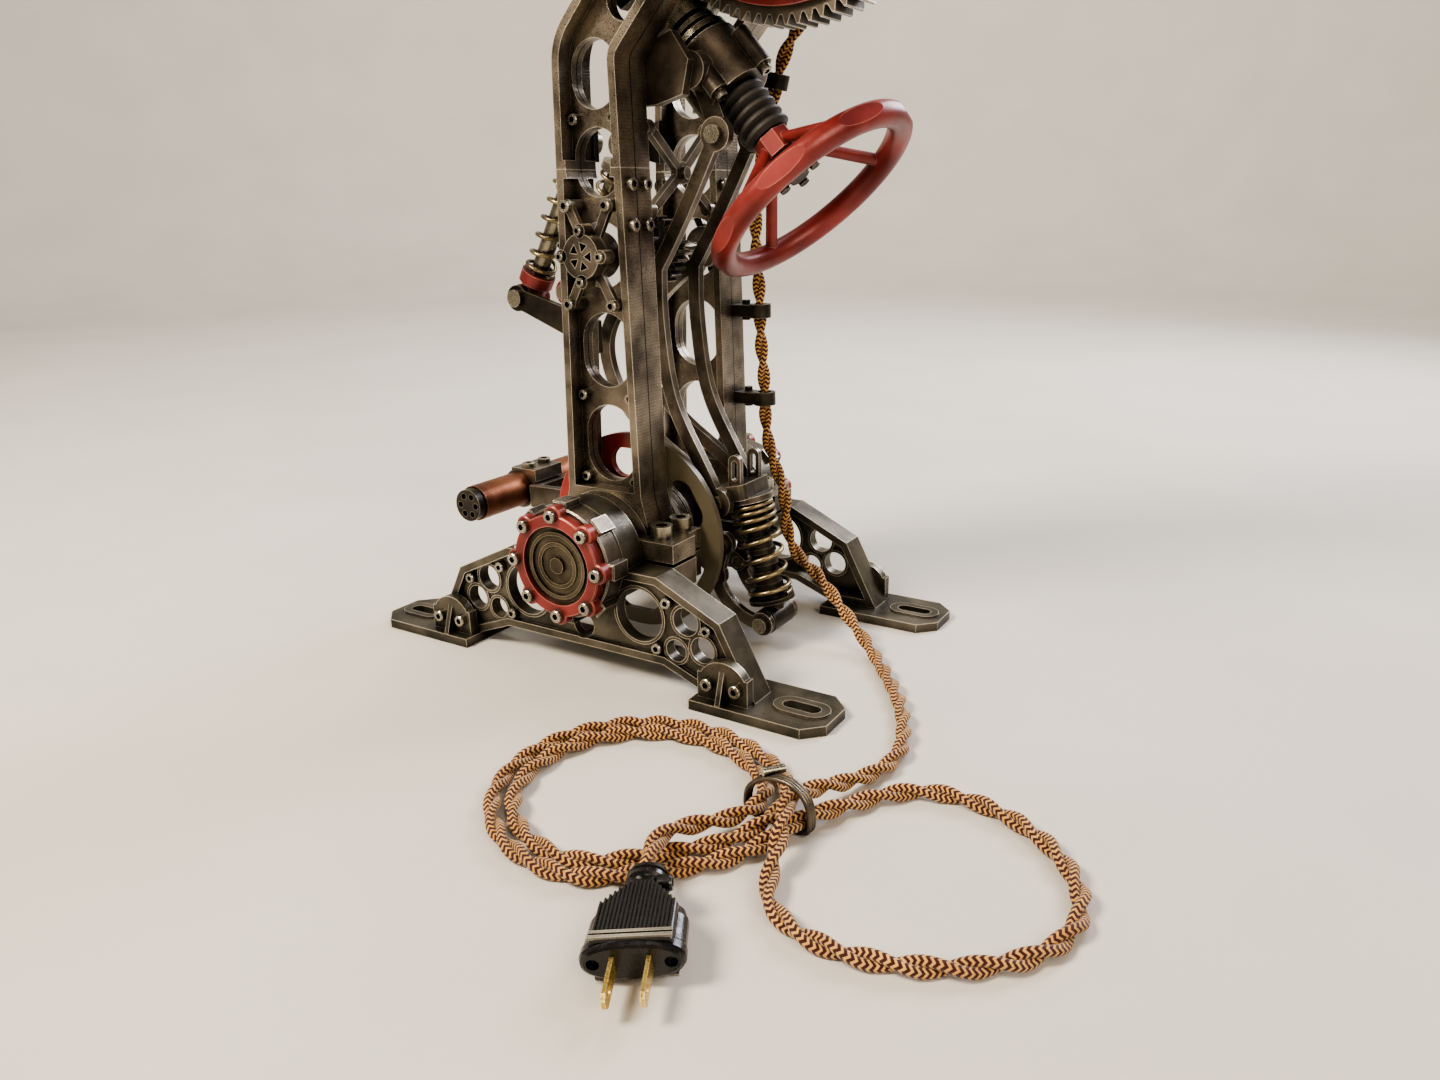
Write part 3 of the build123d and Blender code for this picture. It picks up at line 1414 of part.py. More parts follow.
with BuildPart() as shade:
    with BuildSketch(Plane(origin=(head_x, 0, 0), x_dir=(1, 0, 0), z_dir=(0, -1, 0))):
        with BuildLine():
            neck = socket_radius + fit
            outer = Spline(
                (neck + 3, shade_top),
                (neck + 16, shade_top - 16),
                (shade_radius - 7, shade_bottom + 22),
                (shade_radius, shade_bottom),
                tangents=[(1, -0.15), (0.12, -1)],
            )
            Line((shade_radius, shade_bottom), (shade_radius - shade_wall, shade_bottom))
            inner = Spline(
                (shade_radius - shade_wall, shade_bottom),
                (shade_radius - 7 - shade_wall, shade_bottom + 21.5),
                (neck + 15.2, shade_top - 17.6),
                (neck, shade_top - shade_wall * 1.4),
                tangents=[(-0.12, 1), (-1, 0.15)],
            )
            Line((neck, shade_top - shade_wall * 1.4), (neck, shade_top))
            Line((neck, shade_top), (neck + 3, shade_top))
        make_face()
    revolve(axis=Axis(origin=(head_x, 0, 0), direction=(0, 0, 1)))
save(shade.part, "shade")

with BuildPart() as bulb:
    bulb_base = socket_top - socket_length
    with BuildSketch(Plane(origin=(head_x, 0, 0), x_dir=(1, 0, 0), z_dir=(0, -1, 0))):
        with BuildLine():
            Polyline((0, bulb_base), (12.5, bulb_base))
            Spline(
                (12.5, bulb_base),
                (bulb_radius, bulb_base - 28),
                (0, bulb_base - 28 - bulb_radius),
                tangents=[(0.2, -1), (-1, 0)],
            )
            Line((0, bulb_base - 28 - bulb_radius), (0, bulb_base))
        make_face()
    revolve(axis=Axis(origin=(head_x, 0, 0), direction=(0, 0, 1)))
save(bulb.part, "bulb")

with BuildPart() as switch_key:
    key_start = socket_radius + 4 + body_gap
    extrude(discs([(head_x, switch_z)], side_plane(key_start - 6), 1.5), amount=6 + 6)
    with BuildSketch(side_plane(key_start + 2)):
        with Locations((head_x, switch_z)):
            SlotOverall(12.0, 4.0)
    extrude(amount=6.0)
save(switch_key.part, "switch_key")


# Cord: straight runs joined by tangent arcs
def cord_radii(points):
    radii = []
    for before, corner, after in zip(points, points[1:], points[2:]):
        first = Vector(*corner) - Vector(*before)
        second = Vector(*after) - Vector(*corner)
        turn = acos(max(-1.0, min(1.0, first.normalized().dot(second.normalized()))))
        radii.append(0.49 * min(first.length, second.length) / tan(turn / 2))
    return radii


def cord_tube(points, name):
    radii = cord_radii(points)
    with BuildPart() as tube:
        with BuildLine():
            route = FilletPolyline(*points, radius=radii)
        with BuildSketch(Plane(origin=route @ 0, z_dir=route % 0)):
            Circle(cord_radius)
        sweep(path=route)
    expected = pi * cord_radius**2 * route.length
    print(name, "smallest radius", round(min(radii), 1), "length", round(route.length, 1))
    print(name, "volume share", round(tube.part.volume / expected, 4))
    return tube.part, route


lean_heading = (0.545, 0.838)
held_route = [
    (97.9, cord_side, 392.0),
    (70.0, cord_side, 349.3),
    (54.0, cord_side, 326.5),
    (47.5, cord_side, 301.0),
    (39.5, cord_side, 268.0),
    (35.8, cord_side, 236.0),
    (39.0, cord_side, 205.0),
    (39.6, cord_side, 172.0),
    (42.0, cord_side, 152.0),
    (42.6, cord_side, 132.0),
]
cord_upper, cord_upper_line = cord_tube(held_route, "held cord")
save(cord_upper, "cord_upper")

lead_route = [
    (42.6, cord_side, 132.0),
    (43.1, cord_side, 115.3),
    (49.0, 49.4, 97.0),
    (58.4, 47.3, 78.5),
    (60.0, 45.0, 57.0),
    (70.0, 41.0, 41.5),
    (88.0, 33.6, 36.0),
    (108.0, 25.0, 21.0),
    (132.0, 13.0, floor_z + 1.2),
    (152.0, -11.5, floor_z),
    (170.0, -36.0, floor_z),
    (184.0, -61.0, floor_z),
    (189.04, -75.0, floor_z),
]
cord_lead, cord_lead_line = cord_tube(lead_route, "lead")
save(cord_lead, "cord_lead")

# The tie holds three strands side by side and one on top of them
tie_centre = (170.4, -166.0)
tie_heading = (-0.12, -0.993)
lane_pitch = 9.3
tie_low = floor_z + tie_wall + 0.65
tie_high = tie_low + 8.9
coil_centre = (107.0, -178.0)
coil_angles = (-76, -102, -128, -154, -180, -206, -232, -258, -284)


def coil_turn(turns_done):
    turn = []
    for angle in coil_angles:
        radius = 69.5 - lane_pitch * (turns_done - angle / 360)
        spread = radians(angle)
        turn.append((coil_centre[0] + radius * cos(spread), coil_centre[1] + radius * sin(spread), floor_z))
    return turn


right_loop = [
    lead_route[-1],
    (193.0, -86.0, floor_z),
    (194.0, -106.0, floor_z + 0.3),
    (187.5, -126.0, floor_z + 1.8),
    (180.5, -146.5, 11.4),
    (175.0, -167.0, tie_high),
    (181.8, -184.0, 14.0),
    (186.5, -201.0, 6.6),
    (192.0, -216.0, floor_z),
    (208.0, -227.0, floor_z),
    (230.0, -229.5, floor_z),
    (253.0, -223.0, floor_z),
    (274.0, -211.0, floor_z),
    (291.0, -192.5, floor_z),
    (296.5, -168.0, floor_z),
    (288.0, -144.5, floor_z),
    (270.0, -125.5, floor_z),
    (246.0, -114.0, floor_z),
    (222.0, -113.0, floor_z),
    (204.5, -123.5, floor_z),
    (194.0, -141.0, floor_z + 0.6),
    (179.8, -168.5, tie_low + 0.7),
    (174.0, -191.0, floor_z + 0.1),
    (161.0, -210.5, floor_z),
    (145.2, -225.2, floor_z),
]
first_return = [
    (143.5, -126.5, floor_z),
    (159.0, -138.5, floor_z + 0.4),
    (169.5, -154.0, tie_low - 0.7),
    (170.6, -172.0, tie_low + 0.5),
    (164.0, -189.0, floor_z + 0.4),
    (150.6, -204.8, floor_z),
]
second_return = [
    (135.5, -133.2, floor_z),
    (148.0, -141.3, floor_z + 0.4),
    (160.5, -157.0, tie_low - 0.5),
    (159.3, -177.5, tie_low + 0.5),
    (148.3, -193.7, 9.0),
    (143.0, -209.9, 13.2),
    (146.0, -226.6, 14.2),
    (154.7, -237.5, 12.95),
]
coil_route = right_loop + coil_turn(0) + first_return + coil_turn(1) + second_return
cord_coil, cord_coil_line = cord_tube(coil_route, "coil")
save(cord_coil, "cord_coil")

# Least distance between strands of the floor cord, on points along the line
samples = [cord_coil_line @ (i / 899) for i in range(900)]
spacing = cord_coil_line.length / 899
skip = ceil(3.2 * cord_radius / spacing) + 4
least = min(
    (samples[i] - samples[j]).length
    for i in range(len(samples))
    for j in range(i + skip, len(samples))
)
print("least strand distance", round(least, 2), "gap", round(least - 2 * cord_radius, 2))
print("lowest cord point", round(min(p.Z for p in samples) - cord_radius, 3))

with BuildPart() as cord_tie:
    tie_plane = Plane(
        origin=(tie_centre[0], tie_centre[1], 0),
        x_dir=(-tie_heading[1], tie_heading[0], 0),
        z_dir=(tie_heading[0], tie_heading[1], 0),
    )
    inner_low = tie_low - cord_radius - 0.3
    inner_high = tie_high + cord_radius + 0.5
    inner_half = lane_pitch + cord_radius + 2.7
    with BuildSketch(tie_plane.offset(-2.2)):
        up = tie_plane.to_local_coords(Vector(tie_plane.origin.X, tie_plane.origin.Y, 1)).Y
        with Locations((0, up * (inner_low + inner_high) / 2)):
            RectangleRounded(2 * (inner_half + tie_wall), inner_high - inner_low + 2 * tie_wall, 6.0)
            RectangleRounded(2 * inner_half, inner_high - inner_low, 4.2, mode=Mode.SUBTRACT)
    extrude(amount=4.4)
save(cord_tie.part, "cord_tie")

# Cord clamps on the far front flange, and the gland beside the lean
clamp_eyes = [
    ((39.3, 188.5), (0.0182, -0.9998), flange_half(188.5) + 0.15),
    ((42.48, 136.3), (0.03, -0.9995), flange_half(136.3) + 0.15),
    ((50.75, 313.75), (-0.247, -0.969), 19.95),
]
with BuildPart() as cord_clamps:
    for eye, heading, flange_x in clamp_eyes:
        eye_plane = Plane(
            origin=(eye[0], cord_side, eye[1]), x_dir=(0, 1, 0), z_dir=(heading[0], 0, heading[1])
        )
        with BuildSketch(Plane(origin=(0, cord_side, 0), x_dir=(1, 0, 0), z_dir=(0, -1, 0)).offset(-6)):
            with Locations(((eye[0] + flange_x) / 2, eye[1])):
                Rectangle(eye[0] - flange_x, clamp_block_height - 1)
        extrude(amount=12)
        with BuildSketch(eye_plane.offset(-clamp_block_height / 2)):
            Circle(clamp_eye_radius)
        extrude(amount=clamp_block_height)
        with BuildSketch(eye_plane.offset(-clamp_block_height)):
            Circle(clamp_bore)
        extrude(amount=2 * clamp_block_height, mode=Mode.SUBTRACT)
        for lift in (clamp_block_height / 2 - 0.5, -clamp_block_height / 2 + 0.5):
            with BuildSketch(Plane.XY.offset(eye[1] + lift)):
                with Locations((flange_x + 5.5, cord_side + 2.5)):
                    Circle(2.4)
            extrude(amount=2.4 if lift > 0 else -2.4)

gland_start = Vector(89.15, cord_side, 378.62)
gland_length = 12.0
gland_plane = Plane(origin=gland_start, x_dir=(0, 1, 0), z_dir=(lean_heading[0], 0, lean_heading[1]))
with BuildPart() as cord_gland:
    with BuildSketch(gland_plane):
        Circle(6.5)
    extrude(amount=gland_length)
    with BuildSketch(Plane.XZ.offset(-cord_side + 4)):
        edge_low = in_lean(bend_front, lean_angle, 82, -0.1)
        edge_high = in_lean(bend_front, lean_angle, 92, -0.1)
        with BuildLine():
            Polyline(
                edge_low,
                edge_high,
                (gland_start.X + 10 * lean_heading[0], gland_start.Z + 10 * lean_heading[1]),
                (gland_start.X + 2 * lean_heading[0], gland_start.Z + 2 * lean_heading[1]),
                close=True,
            )
        make_face()
    extrude(amount=-8)
    with BuildSketch(gland_plane.offset(-5)):
        Circle(clamp_bore)
    extrude(amount=gland_length + 10, mode=Mode.SUBTRACT)
    add(cord_clamps.part)
save(cord_gland.part, "cord_fittings")

# Plug: ribbed grip and body with two flat blades
plug_heading = (Vector(*coil_route[-1]) - Vector(*coil_route[-2])).normalized()
plug_plane = Plane(origin=coil_route[-1], x_dir=(-plug_heading.Y, plug_heading.X, 0), z_dir=plug_heading)
blade_half_pitch = 6.35
plug_length = 43.6
with BuildPart() as plug_body:
    with BuildSketch(plug_plane):
        Circle(7.2)
    extrude(amount=18.0)
    for i in range(4):
        with BuildSketch(plug_plane.offset(2 + 3.4 * i)):
            Circle(8.0)
        extrude(amount=1.6)
    across = Plane(origin=plug_plane.origin, x_dir=plug_plane.x_dir, z_dir=plug_plane.y_dir)
    flip = 1 if across.y_dir.dot(plug_heading) > 0 else -1
    with BuildSketch(across.offset(-8.5)):
        with BuildLine():
            Polyline(
                (-7.0, flip * 10.0),
                (-16.0, flip * 21.0),
                (-18.5, flip * 27.0),
                (-18.5, flip * 31.0),
                (-13.2, flip * 36.0),
                (-13.2, flip * plug_length),
                (13.2, flip * plug_length),
                (13.2, flip * 36.0),
                (18.5, flip * 31.0),
                (18.5, flip * 27.0),
                (16.0, flip * 21.0),
                (7.0, flip * 10.0),
                close=True,
            )
        make_face()
        with Locations((-15.0, flip * 28.5), (15.0, flip * 28.5)):
            Circle(1.6, mode=Mode.SUBTRACT)
    extrude(amount=17.0)
save(plug_body.part, "plug_body")

with BuildPart() as plug_blades:
    for side_sign in (-1, 1):
        with BuildSketch(plug_plane.offset(plug_length)):
            with Locations((side_sign * blade_half_pitch, 0)):
                Rectangle(1.5, 6.4)
        extrude(amount=18.0)
    hole_plane = Plane(origin=plug_plane.origin, x_dir=plug_plane.y_dir, z_dir=plug_plane.x_dir)
    with BuildSketch(hole_plane.offset(-10)):
        flip_hole = 1 if hole_plane.y_dir.dot(plug_heading) > 0 else -1
        with Locations((0, flip_hole * (plug_length + 14.5))):
            Circle(1.6)
    extrude(amount=20.0, mode=Mode.SUBTRACT)
save(plug_blades.part, "plug_blades")
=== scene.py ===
# %% [markdown]
# # A geared lamp stand in Blender
# The CAD model comes first: every casting, screw and spring is already there at its real size.
# This lesson dresses it. It gives each part its own finish, makes the cloth cord as a real pair
# of twisted strands, and adds the small turned and moulded details that the CAD model leaves out.

import math

import bmesh
import bpy
from mathutils import Matrix, Vector


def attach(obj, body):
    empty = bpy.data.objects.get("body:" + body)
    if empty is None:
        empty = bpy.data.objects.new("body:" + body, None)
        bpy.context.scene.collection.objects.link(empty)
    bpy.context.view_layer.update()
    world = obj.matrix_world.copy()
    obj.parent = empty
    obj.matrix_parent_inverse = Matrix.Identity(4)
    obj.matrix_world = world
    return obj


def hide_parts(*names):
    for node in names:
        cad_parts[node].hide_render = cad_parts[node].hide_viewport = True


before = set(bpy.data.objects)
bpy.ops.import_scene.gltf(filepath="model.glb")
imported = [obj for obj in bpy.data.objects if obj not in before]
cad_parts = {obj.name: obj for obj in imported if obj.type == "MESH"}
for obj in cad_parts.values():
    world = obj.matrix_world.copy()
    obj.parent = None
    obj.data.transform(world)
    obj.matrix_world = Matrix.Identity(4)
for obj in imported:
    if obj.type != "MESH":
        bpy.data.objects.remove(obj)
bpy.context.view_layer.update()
MM = 0.001

# %% [markdown]
# ## Camera
# The photograph looks down at the stand from its front left corner with a wide phone lens.
# The position was worked out from straight edges of known size: the slotted feet, the columns
# and the red ring. A slight roll finishes the match, so it is part of the camera's rotation.

# %% Camera at the photograph's view
LENS_MM = 26.13
CAMERA_AT = (0.3538, -0.5028, 0.2513)
TURNED, TIPPED, ROLLED = 31.99, 17.98, -0.958  # degrees: to the left, downwards, sideways
camera = bpy.data.cameras.new("stand_camera")
camera.lens = LENS_MM
camera.sensor_width = 36.0
camera.clip_start = 20 * MM
camera_object = bpy.data.objects.new("stand_camera", camera)
bpy.context.scene.collection.objects.link(camera_object)
aim = (
    Matrix.Rotation(math.radians(TURNED), 4, "Z")
    @ Matrix.Rotation(math.radians(90 - TIPPED), 4, "X")
    @ Matrix.Rotation(math.radians(ROLLED), 4, "Z")
)
camera_object.matrix_world = Matrix.Translation(CAMERA_AT) @ aim
bpy.context.scene.camera = camera_object
print("camera", CAMERA_AT, "lens", LENS_MM)

# %% [markdown]
# ## Small helpers
# A few helpers carry the whole lesson. One turns a colour as given on screen into the linear
# values that the renderer adds up. One adds a shader or geometry node with its settings and
# links, so that a material reads as a short list. Two open and close a Geometry Nodes group, and
# the rest turn points, curves and groups into plain meshes that ride on the stand.


# %% Colour and node helpers
def colour(hex_code):
    parts = [int(hex_code[i : i + 2], 16) / 255 for i in (0, 2, 4)]
    linear = [c / 12.92 if c <= 0.04045 else ((c + 0.055) / 1.055) ** 2.4 for c in parts]
    return (*linear, 1.0)


def add(tree, kind, links=None, values=None, **settings):
    made = tree.nodes.new(kind)
    for key, value in settings.items():
        setattr(made, key, value)
    for socket, value in (values or {}).items():
        made.inputs[socket].default_value = value
    for socket, source in (links or {}).items():
        tree.links.new(source, made.inputs[socket])
    return made


def flow(tree, kind, links=None, values=None, **settings):
    """Add a node and hand back what flows out of its first output."""
    return add(tree, kind, links, values, **settings).outputs[0]


def new_material(name):
    material = bpy.data.materials.new(name)
    material.use_nodes = True
    material.node_tree.nodes.clear()
    return material, material.node_tree


def new_group(name, sizes):
    """A Geometry Nodes group that is given geometry, these sizes and a material."""
    tree = bpy.data.node_groups.new(name, "GeometryNodeTree")
    face = tree.interface
    face.new_socket("Geometry", in_out="INPUT", socket_type="NodeSocketGeometry")
    for label, value in sizes.items():
        socket = face.new_socket(label, in_out="INPUT", socket_type="NodeSocketFloat")
        socket.default_value = value
    face.new_socket("Material", in_out="INPUT", socket_type="NodeSocketMaterial")
    face.new_socket("Geometry", in_out="OUTPUT", socket_type="NodeSocketGeometry")
    return tree, add(tree, "NodeGroupInput").outputs


def close_group(tree, shape, material):
    """Make the instances real faces, give them the material and hand them out."""
    solid = flow(tree, "GeometryNodeRealizeInstances", {"Geometry": shape})
    dressed = flow(tree, "GeometryNodeSetMaterial", {"Geometry": solid, "Material": material})
    add(tree, "NodeGroupOutput", {0: dressed})
    return tree


# %% Mesh helpers
def link_object(name, data):
    made = bpy.data.objects.new(name, data)
    bpy.context.scene.collection.objects.link(made)
    return made


def mesh_from(work, name):
    mesh = bpy.data.meshes.new(name)
    work.to_mesh(mesh)
    work.free()
    return mesh


def bridge(work, rings):
    """Faces between each ring of vertices and the next one."""
    for low, high in zip(rings, rings[1:]):
        for k in range(len(low)):
            j = (k + 1) % len(low)
            work.faces.new((low[k], low[j], high[j], high[k]))


def points_mesh(name, places, **notes):
    """Loose points, each with its own value of the named attributes."""
    mesh = bpy.data.meshes.new(name)
    mesh.from_pydata([tuple(place) for place in places], [], [])
    for key, values in notes.items():
        single = isinstance(values[0], float)
        note = mesh.attributes.new(key, "FLOAT" if single else "FLOAT_VECTOR", "POINT")
        for item, value in zip(note.data, values):
            setattr(item, "value" if single else "vector", value)
    return mesh


def plain_mesh(source, name):
    """The evaluated shape of an object as a plain mesh that rides on the stand."""
    graph = bpy.context.evaluated_depsgraph_get()
    mesh = bpy.data.meshes.new_from_object(source.evaluated_get(graph))
    mesh.name = name
    bpy.data.objects.remove(source)
    made = link_object(name, mesh)
    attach(made, "stand")
    return made


def grow(name, mesh, tree, **inputs):
    """What a Geometry Nodes group makes of a mesh, with these values for its sockets."""
    carrier = link_object(name + "_work", mesh)
    modifier = carrier.modifiers.new(tree.name, "NODES")
    modifier.node_group = tree
    for item in tree.interface.items_tree:
        key = item.name.replace(" ", "_").lower()
        if item.in_out == "INPUT" and key in inputs:
            modifier[item.identifier] = inputs[key]
    return plain_mesh(carrier, name)


print("helpers ready")

# %% [markdown]
# ## The cloth cord's route
# The cord is held on the far front flange by two clamps, leaves the lower one, slips between the
# column and the front shock, and lies on the floor in a big loop and two tied turns. Its route is
# a list of control points for one smooth NURBS curve, so that it bends like cloth-covered wire
# and not like a bent rod.

# %% Route points, millimetres
FLOOR_Z = 4.05
TIE_LOW = 6.70
TIE_HIGH = 15.6
HELD_ROUTE = [
    (97.9, 50, 392), (70, 50, 349.3), (54, 50, 326.5), (47.5, 50, 301), (39.5, 50, 268),
    (35.8, 50, 236), (39, 50, 205), (39.6, 50, 172), (42, 50, 152), (42.6, 50, 132),
]
LEAD_ROUTE = [
    (42.6, 50, 132), (43.1, 50, 115.3), (49, 49.4, 97), (58.4, 47.3, 78.5), (60, 45, 57),
    (70, 41, 41.5), (88, 33.6, 36), (108, 25, 21), (132, 13, FLOOR_Z + 1.2), (152, -11.5, FLOOR_Z),
    (170, -36, FLOOR_Z), (184, -61, FLOOR_Z), (189.04, -75, FLOOR_Z),
]
RIGHT_LOOP = [
    (193, -86, FLOOR_Z), (194, -106, FLOOR_Z + 0.3), (187.5, -126, FLOOR_Z + 1.8),
    (180.5, -146.5, 11.4), (175, -167, TIE_HIGH), (181.8, -184, 14), (186.5, -201, 6.6),
    (192, -216, FLOOR_Z), (208, -227, FLOOR_Z), (230, -229.5, FLOOR_Z), (253, -223, FLOOR_Z),
    (274, -211, FLOOR_Z), (291, -192.5, FLOOR_Z), (296.5, -168, FLOOR_Z), (288, -144.5, FLOOR_Z),
    (270, -125.5, FLOOR_Z), (246, -114, FLOOR_Z), (222, -113, FLOOR_Z), (204.5, -123.5, FLOOR_Z),
    (194, -141, FLOOR_Z + 0.6), (179.8, -168.5, TIE_LOW + 0.7), (174, -191, FLOOR_Z + 0.1),
    (161, -210.5, FLOOR_Z), (145.2, -225.2, FLOOR_Z),
]
FIRST_RETURN = [
    (143.5, -126.5, FLOOR_Z), (159, -138.5, FLOOR_Z + 0.4), (169.5, -154, TIE_LOW - 0.7),
    (170.6, -172, TIE_LOW + 0.5), (164, -189, FLOOR_Z + 0.4), (150.6, -204.8, FLOOR_Z),
]
SECOND_RETURN = [
    (135.5, -133.2, FLOOR_Z), (148, -141.3, FLOOR_Z + 0.4), (160.5, -157, TIE_LOW - 0.5),
    (159.3, -177.5, TIE_LOW + 0.5), (148.3, -193.7, 9.0), (143, -209.9, 13.2), (146, -226.6, 14.2),
    (154.7, -237.5, 12.95),
]
COIL_CENTRE = (107, -178)
COIL_RADIUS = 69.5
COIL_ANGLES = (-76, -102, -128, -154, -180, -206, -232, -258, -284)
LANE_PITCH = 9.3


def coil_turn(turns_done):
    points = []
    for angle in COIL_ANGLES:
        radius = COIL_RADIUS - LANE_PITCH * (turns_done - angle / 360)
        turn = math.radians(angle)
        x = COIL_CENTRE[0] + radius * math.cos(turn)
        points.append((x, COIL_CENTRE[1] + radius * math.sin(turn), FLOOR_Z))
    return points


FREE_ROUTE = LEAD_ROUTE + RIGHT_LOOP + coil_turn(0) + FIRST_RETURN + coil_turn(1) + SECOND_RETURN
print(len(HELD_ROUTE), "held points,", len(FREE_ROUTE), "free points")

# %% [markdown]
# ## Two strands twisted together
# The real cord is a pair of insulated wires, each in its own woven sleeve, twisted round each
# other about once every 36 mm. A tube with a striped picture on it would lose the lumpy outline,
# so Geometry Nodes follow the route, shift each strand sideways by a turning offset and sweep a
# small circle along it. Two attributes, the distance along and the place round each strand, are
# kept for the weave.


# %% Smooth curves and the line along a route
def nurbs(name, places, resolution):
    """A smooth curve whose control points are given in millimetres."""
    data = bpy.data.curves.new(name, "CURVE")
    data.dimensions = "3D"
    data.resolution_u = resolution
    spline = data.splines.new("NURBS")
    spline.points.add(len(places) - 1)
    for slot, place in zip(spline.points, places):
        slot.co = (*(c * MM for c in place), 1.0)
    spline.order_u = 3
    return data, spline


def route_line(name, route):
    data, spline = nurbs(name, route, 12)
    spline.use_endpoint_u = True
    curve = link_object(name, data)
    graph = bpy.context.evaluated_depsgraph_get()
    mesh = bpy.data.meshes.new_from_object(curve.evaluated_get(graph))
    line = [v.co.copy() for v in mesh.vertices]
    bpy.data.objects.remove(curve)
    return mesh, line


# %% Geometry Nodes: a twisted pair along a line
PAIR_SIZES = {
    "Strand radius": 2.05 * MM,
    "Twist radius": 1.95 * MM,
    "Twist pitch": 36 * MM,
    "Step": 1.1 * MM,
}


def twisted_pair_tree():
    tree, given = new_group("twisted_pair", PAIR_SIZES)
    line = flow(tree, "GeometryNodeMeshToCurve", {"Mesh": given["Geometry"]})
    line = {"Curve": line, "Length": given["Step"]}
    line = flow(tree, "GeometryNodeResampleCurve", line, mode="LENGTH")
    tangent = flow(tree, "GeometryNodeInputTangent")
    normal = add(tree, "GeometryNodeInputNormal").outputs["Normal"]
    side = flow(tree, "ShaderNodeVectorMath", {0: tangent, 1: normal}, operation="CROSS_PRODUCT")
    along = add(tree, "GeometryNodeSplineParameter").outputs["Length"]
    turns = flow(tree, "ShaderNodeMath", {0: along, 1: given["Twist pitch"]}, operation="DIVIDE")
    angle = flow(tree, "ShaderNodeMath", {0: turns}, {1: math.tau}, operation="MULTIPLY")
    ring = add(
        tree,
        "GeometryNodeCurvePrimitiveCircle",
        {"Radius": given["Strand radius"]},
        {"Resolution": 12},
        mode="RADIUS",
    )
    place = flow(tree, "GeometryNodeInputPosition")
    ring = flow(
        tree,
        "GeometryNodeStoreNamedAttribute",
        {"Geometry": ring.outputs["Curve"], "Value": place},
        {"Name": "around"},
        data_type="FLOAT_VECTOR",
        domain="POINT",
    )
    strands = add(tree, "GeometryNodeJoinGeometry")
    for phase in (0.0, math.pi):
        turned = flow(tree, "ShaderNodeMath", {0: angle}, {1: phase}, operation="ADD")
        cosine = flow(tree, "ShaderNodeMath", {0: turned}, operation="COSINE")
        sine = flow(tree, "ShaderNodeMath", {0: turned}, operation="SINE")
        first = flow(tree, "ShaderNodeVectorMath", {0: normal, "Scale": cosine}, operation="SCALE")
        second = flow(tree, "ShaderNodeVectorMath", {0: side, "Scale": sine}, operation="SCALE")
        offset = flow(tree, "ShaderNodeVectorMath", {0: first, 1: second}, operation="ADD")
        offset = {0: offset, "Scale": given["Twist radius"]}
        offset = flow(tree, "ShaderNodeVectorMath", offset, operation="SCALE")
        moved = flow(tree, "GeometryNodeSetPosition", {"Geometry": line, "Offset": offset})
        measured = flow(
            tree,
            "GeometryNodeStoreNamedAttribute",
            {"Geometry": moved, "Value": along},
            {"Name": "along"},
            data_type="FLOAT",
            domain="POINT",
        )
        swept = {"Curve": measured, "Profile Curve": ring}
        swept = flow(tree, "GeometryNodeCurveToMesh", swept, {"Fill Caps": True})
        tree.links.new(swept, strands.inputs[0])
    smooth = flow(tree, "GeometryNodeSetShadeSmooth", {"Geometry": strands.outputs[0]})
    return close_group(tree, smooth, given["Material"])


# %% [markdown]
# ### Woven cotton sleeve
# Each sleeve is braided from gold and dark red cotton. Diagonal stitches lean one way in one row
# and the other way in the next, which reads as small arrows. A braid angle comes from the place
# round the strand, a stitch phase from the distance along it, and the same wave drives colour
# and bump. The stitches are 2.5 mm long, as on the real sleeve.


# %% Braided cotton material
STITCH_LENGTH = 2.5 * MM
ROWS_ROUND_STRAND = 4
FUZZ_SHARE = 0.9


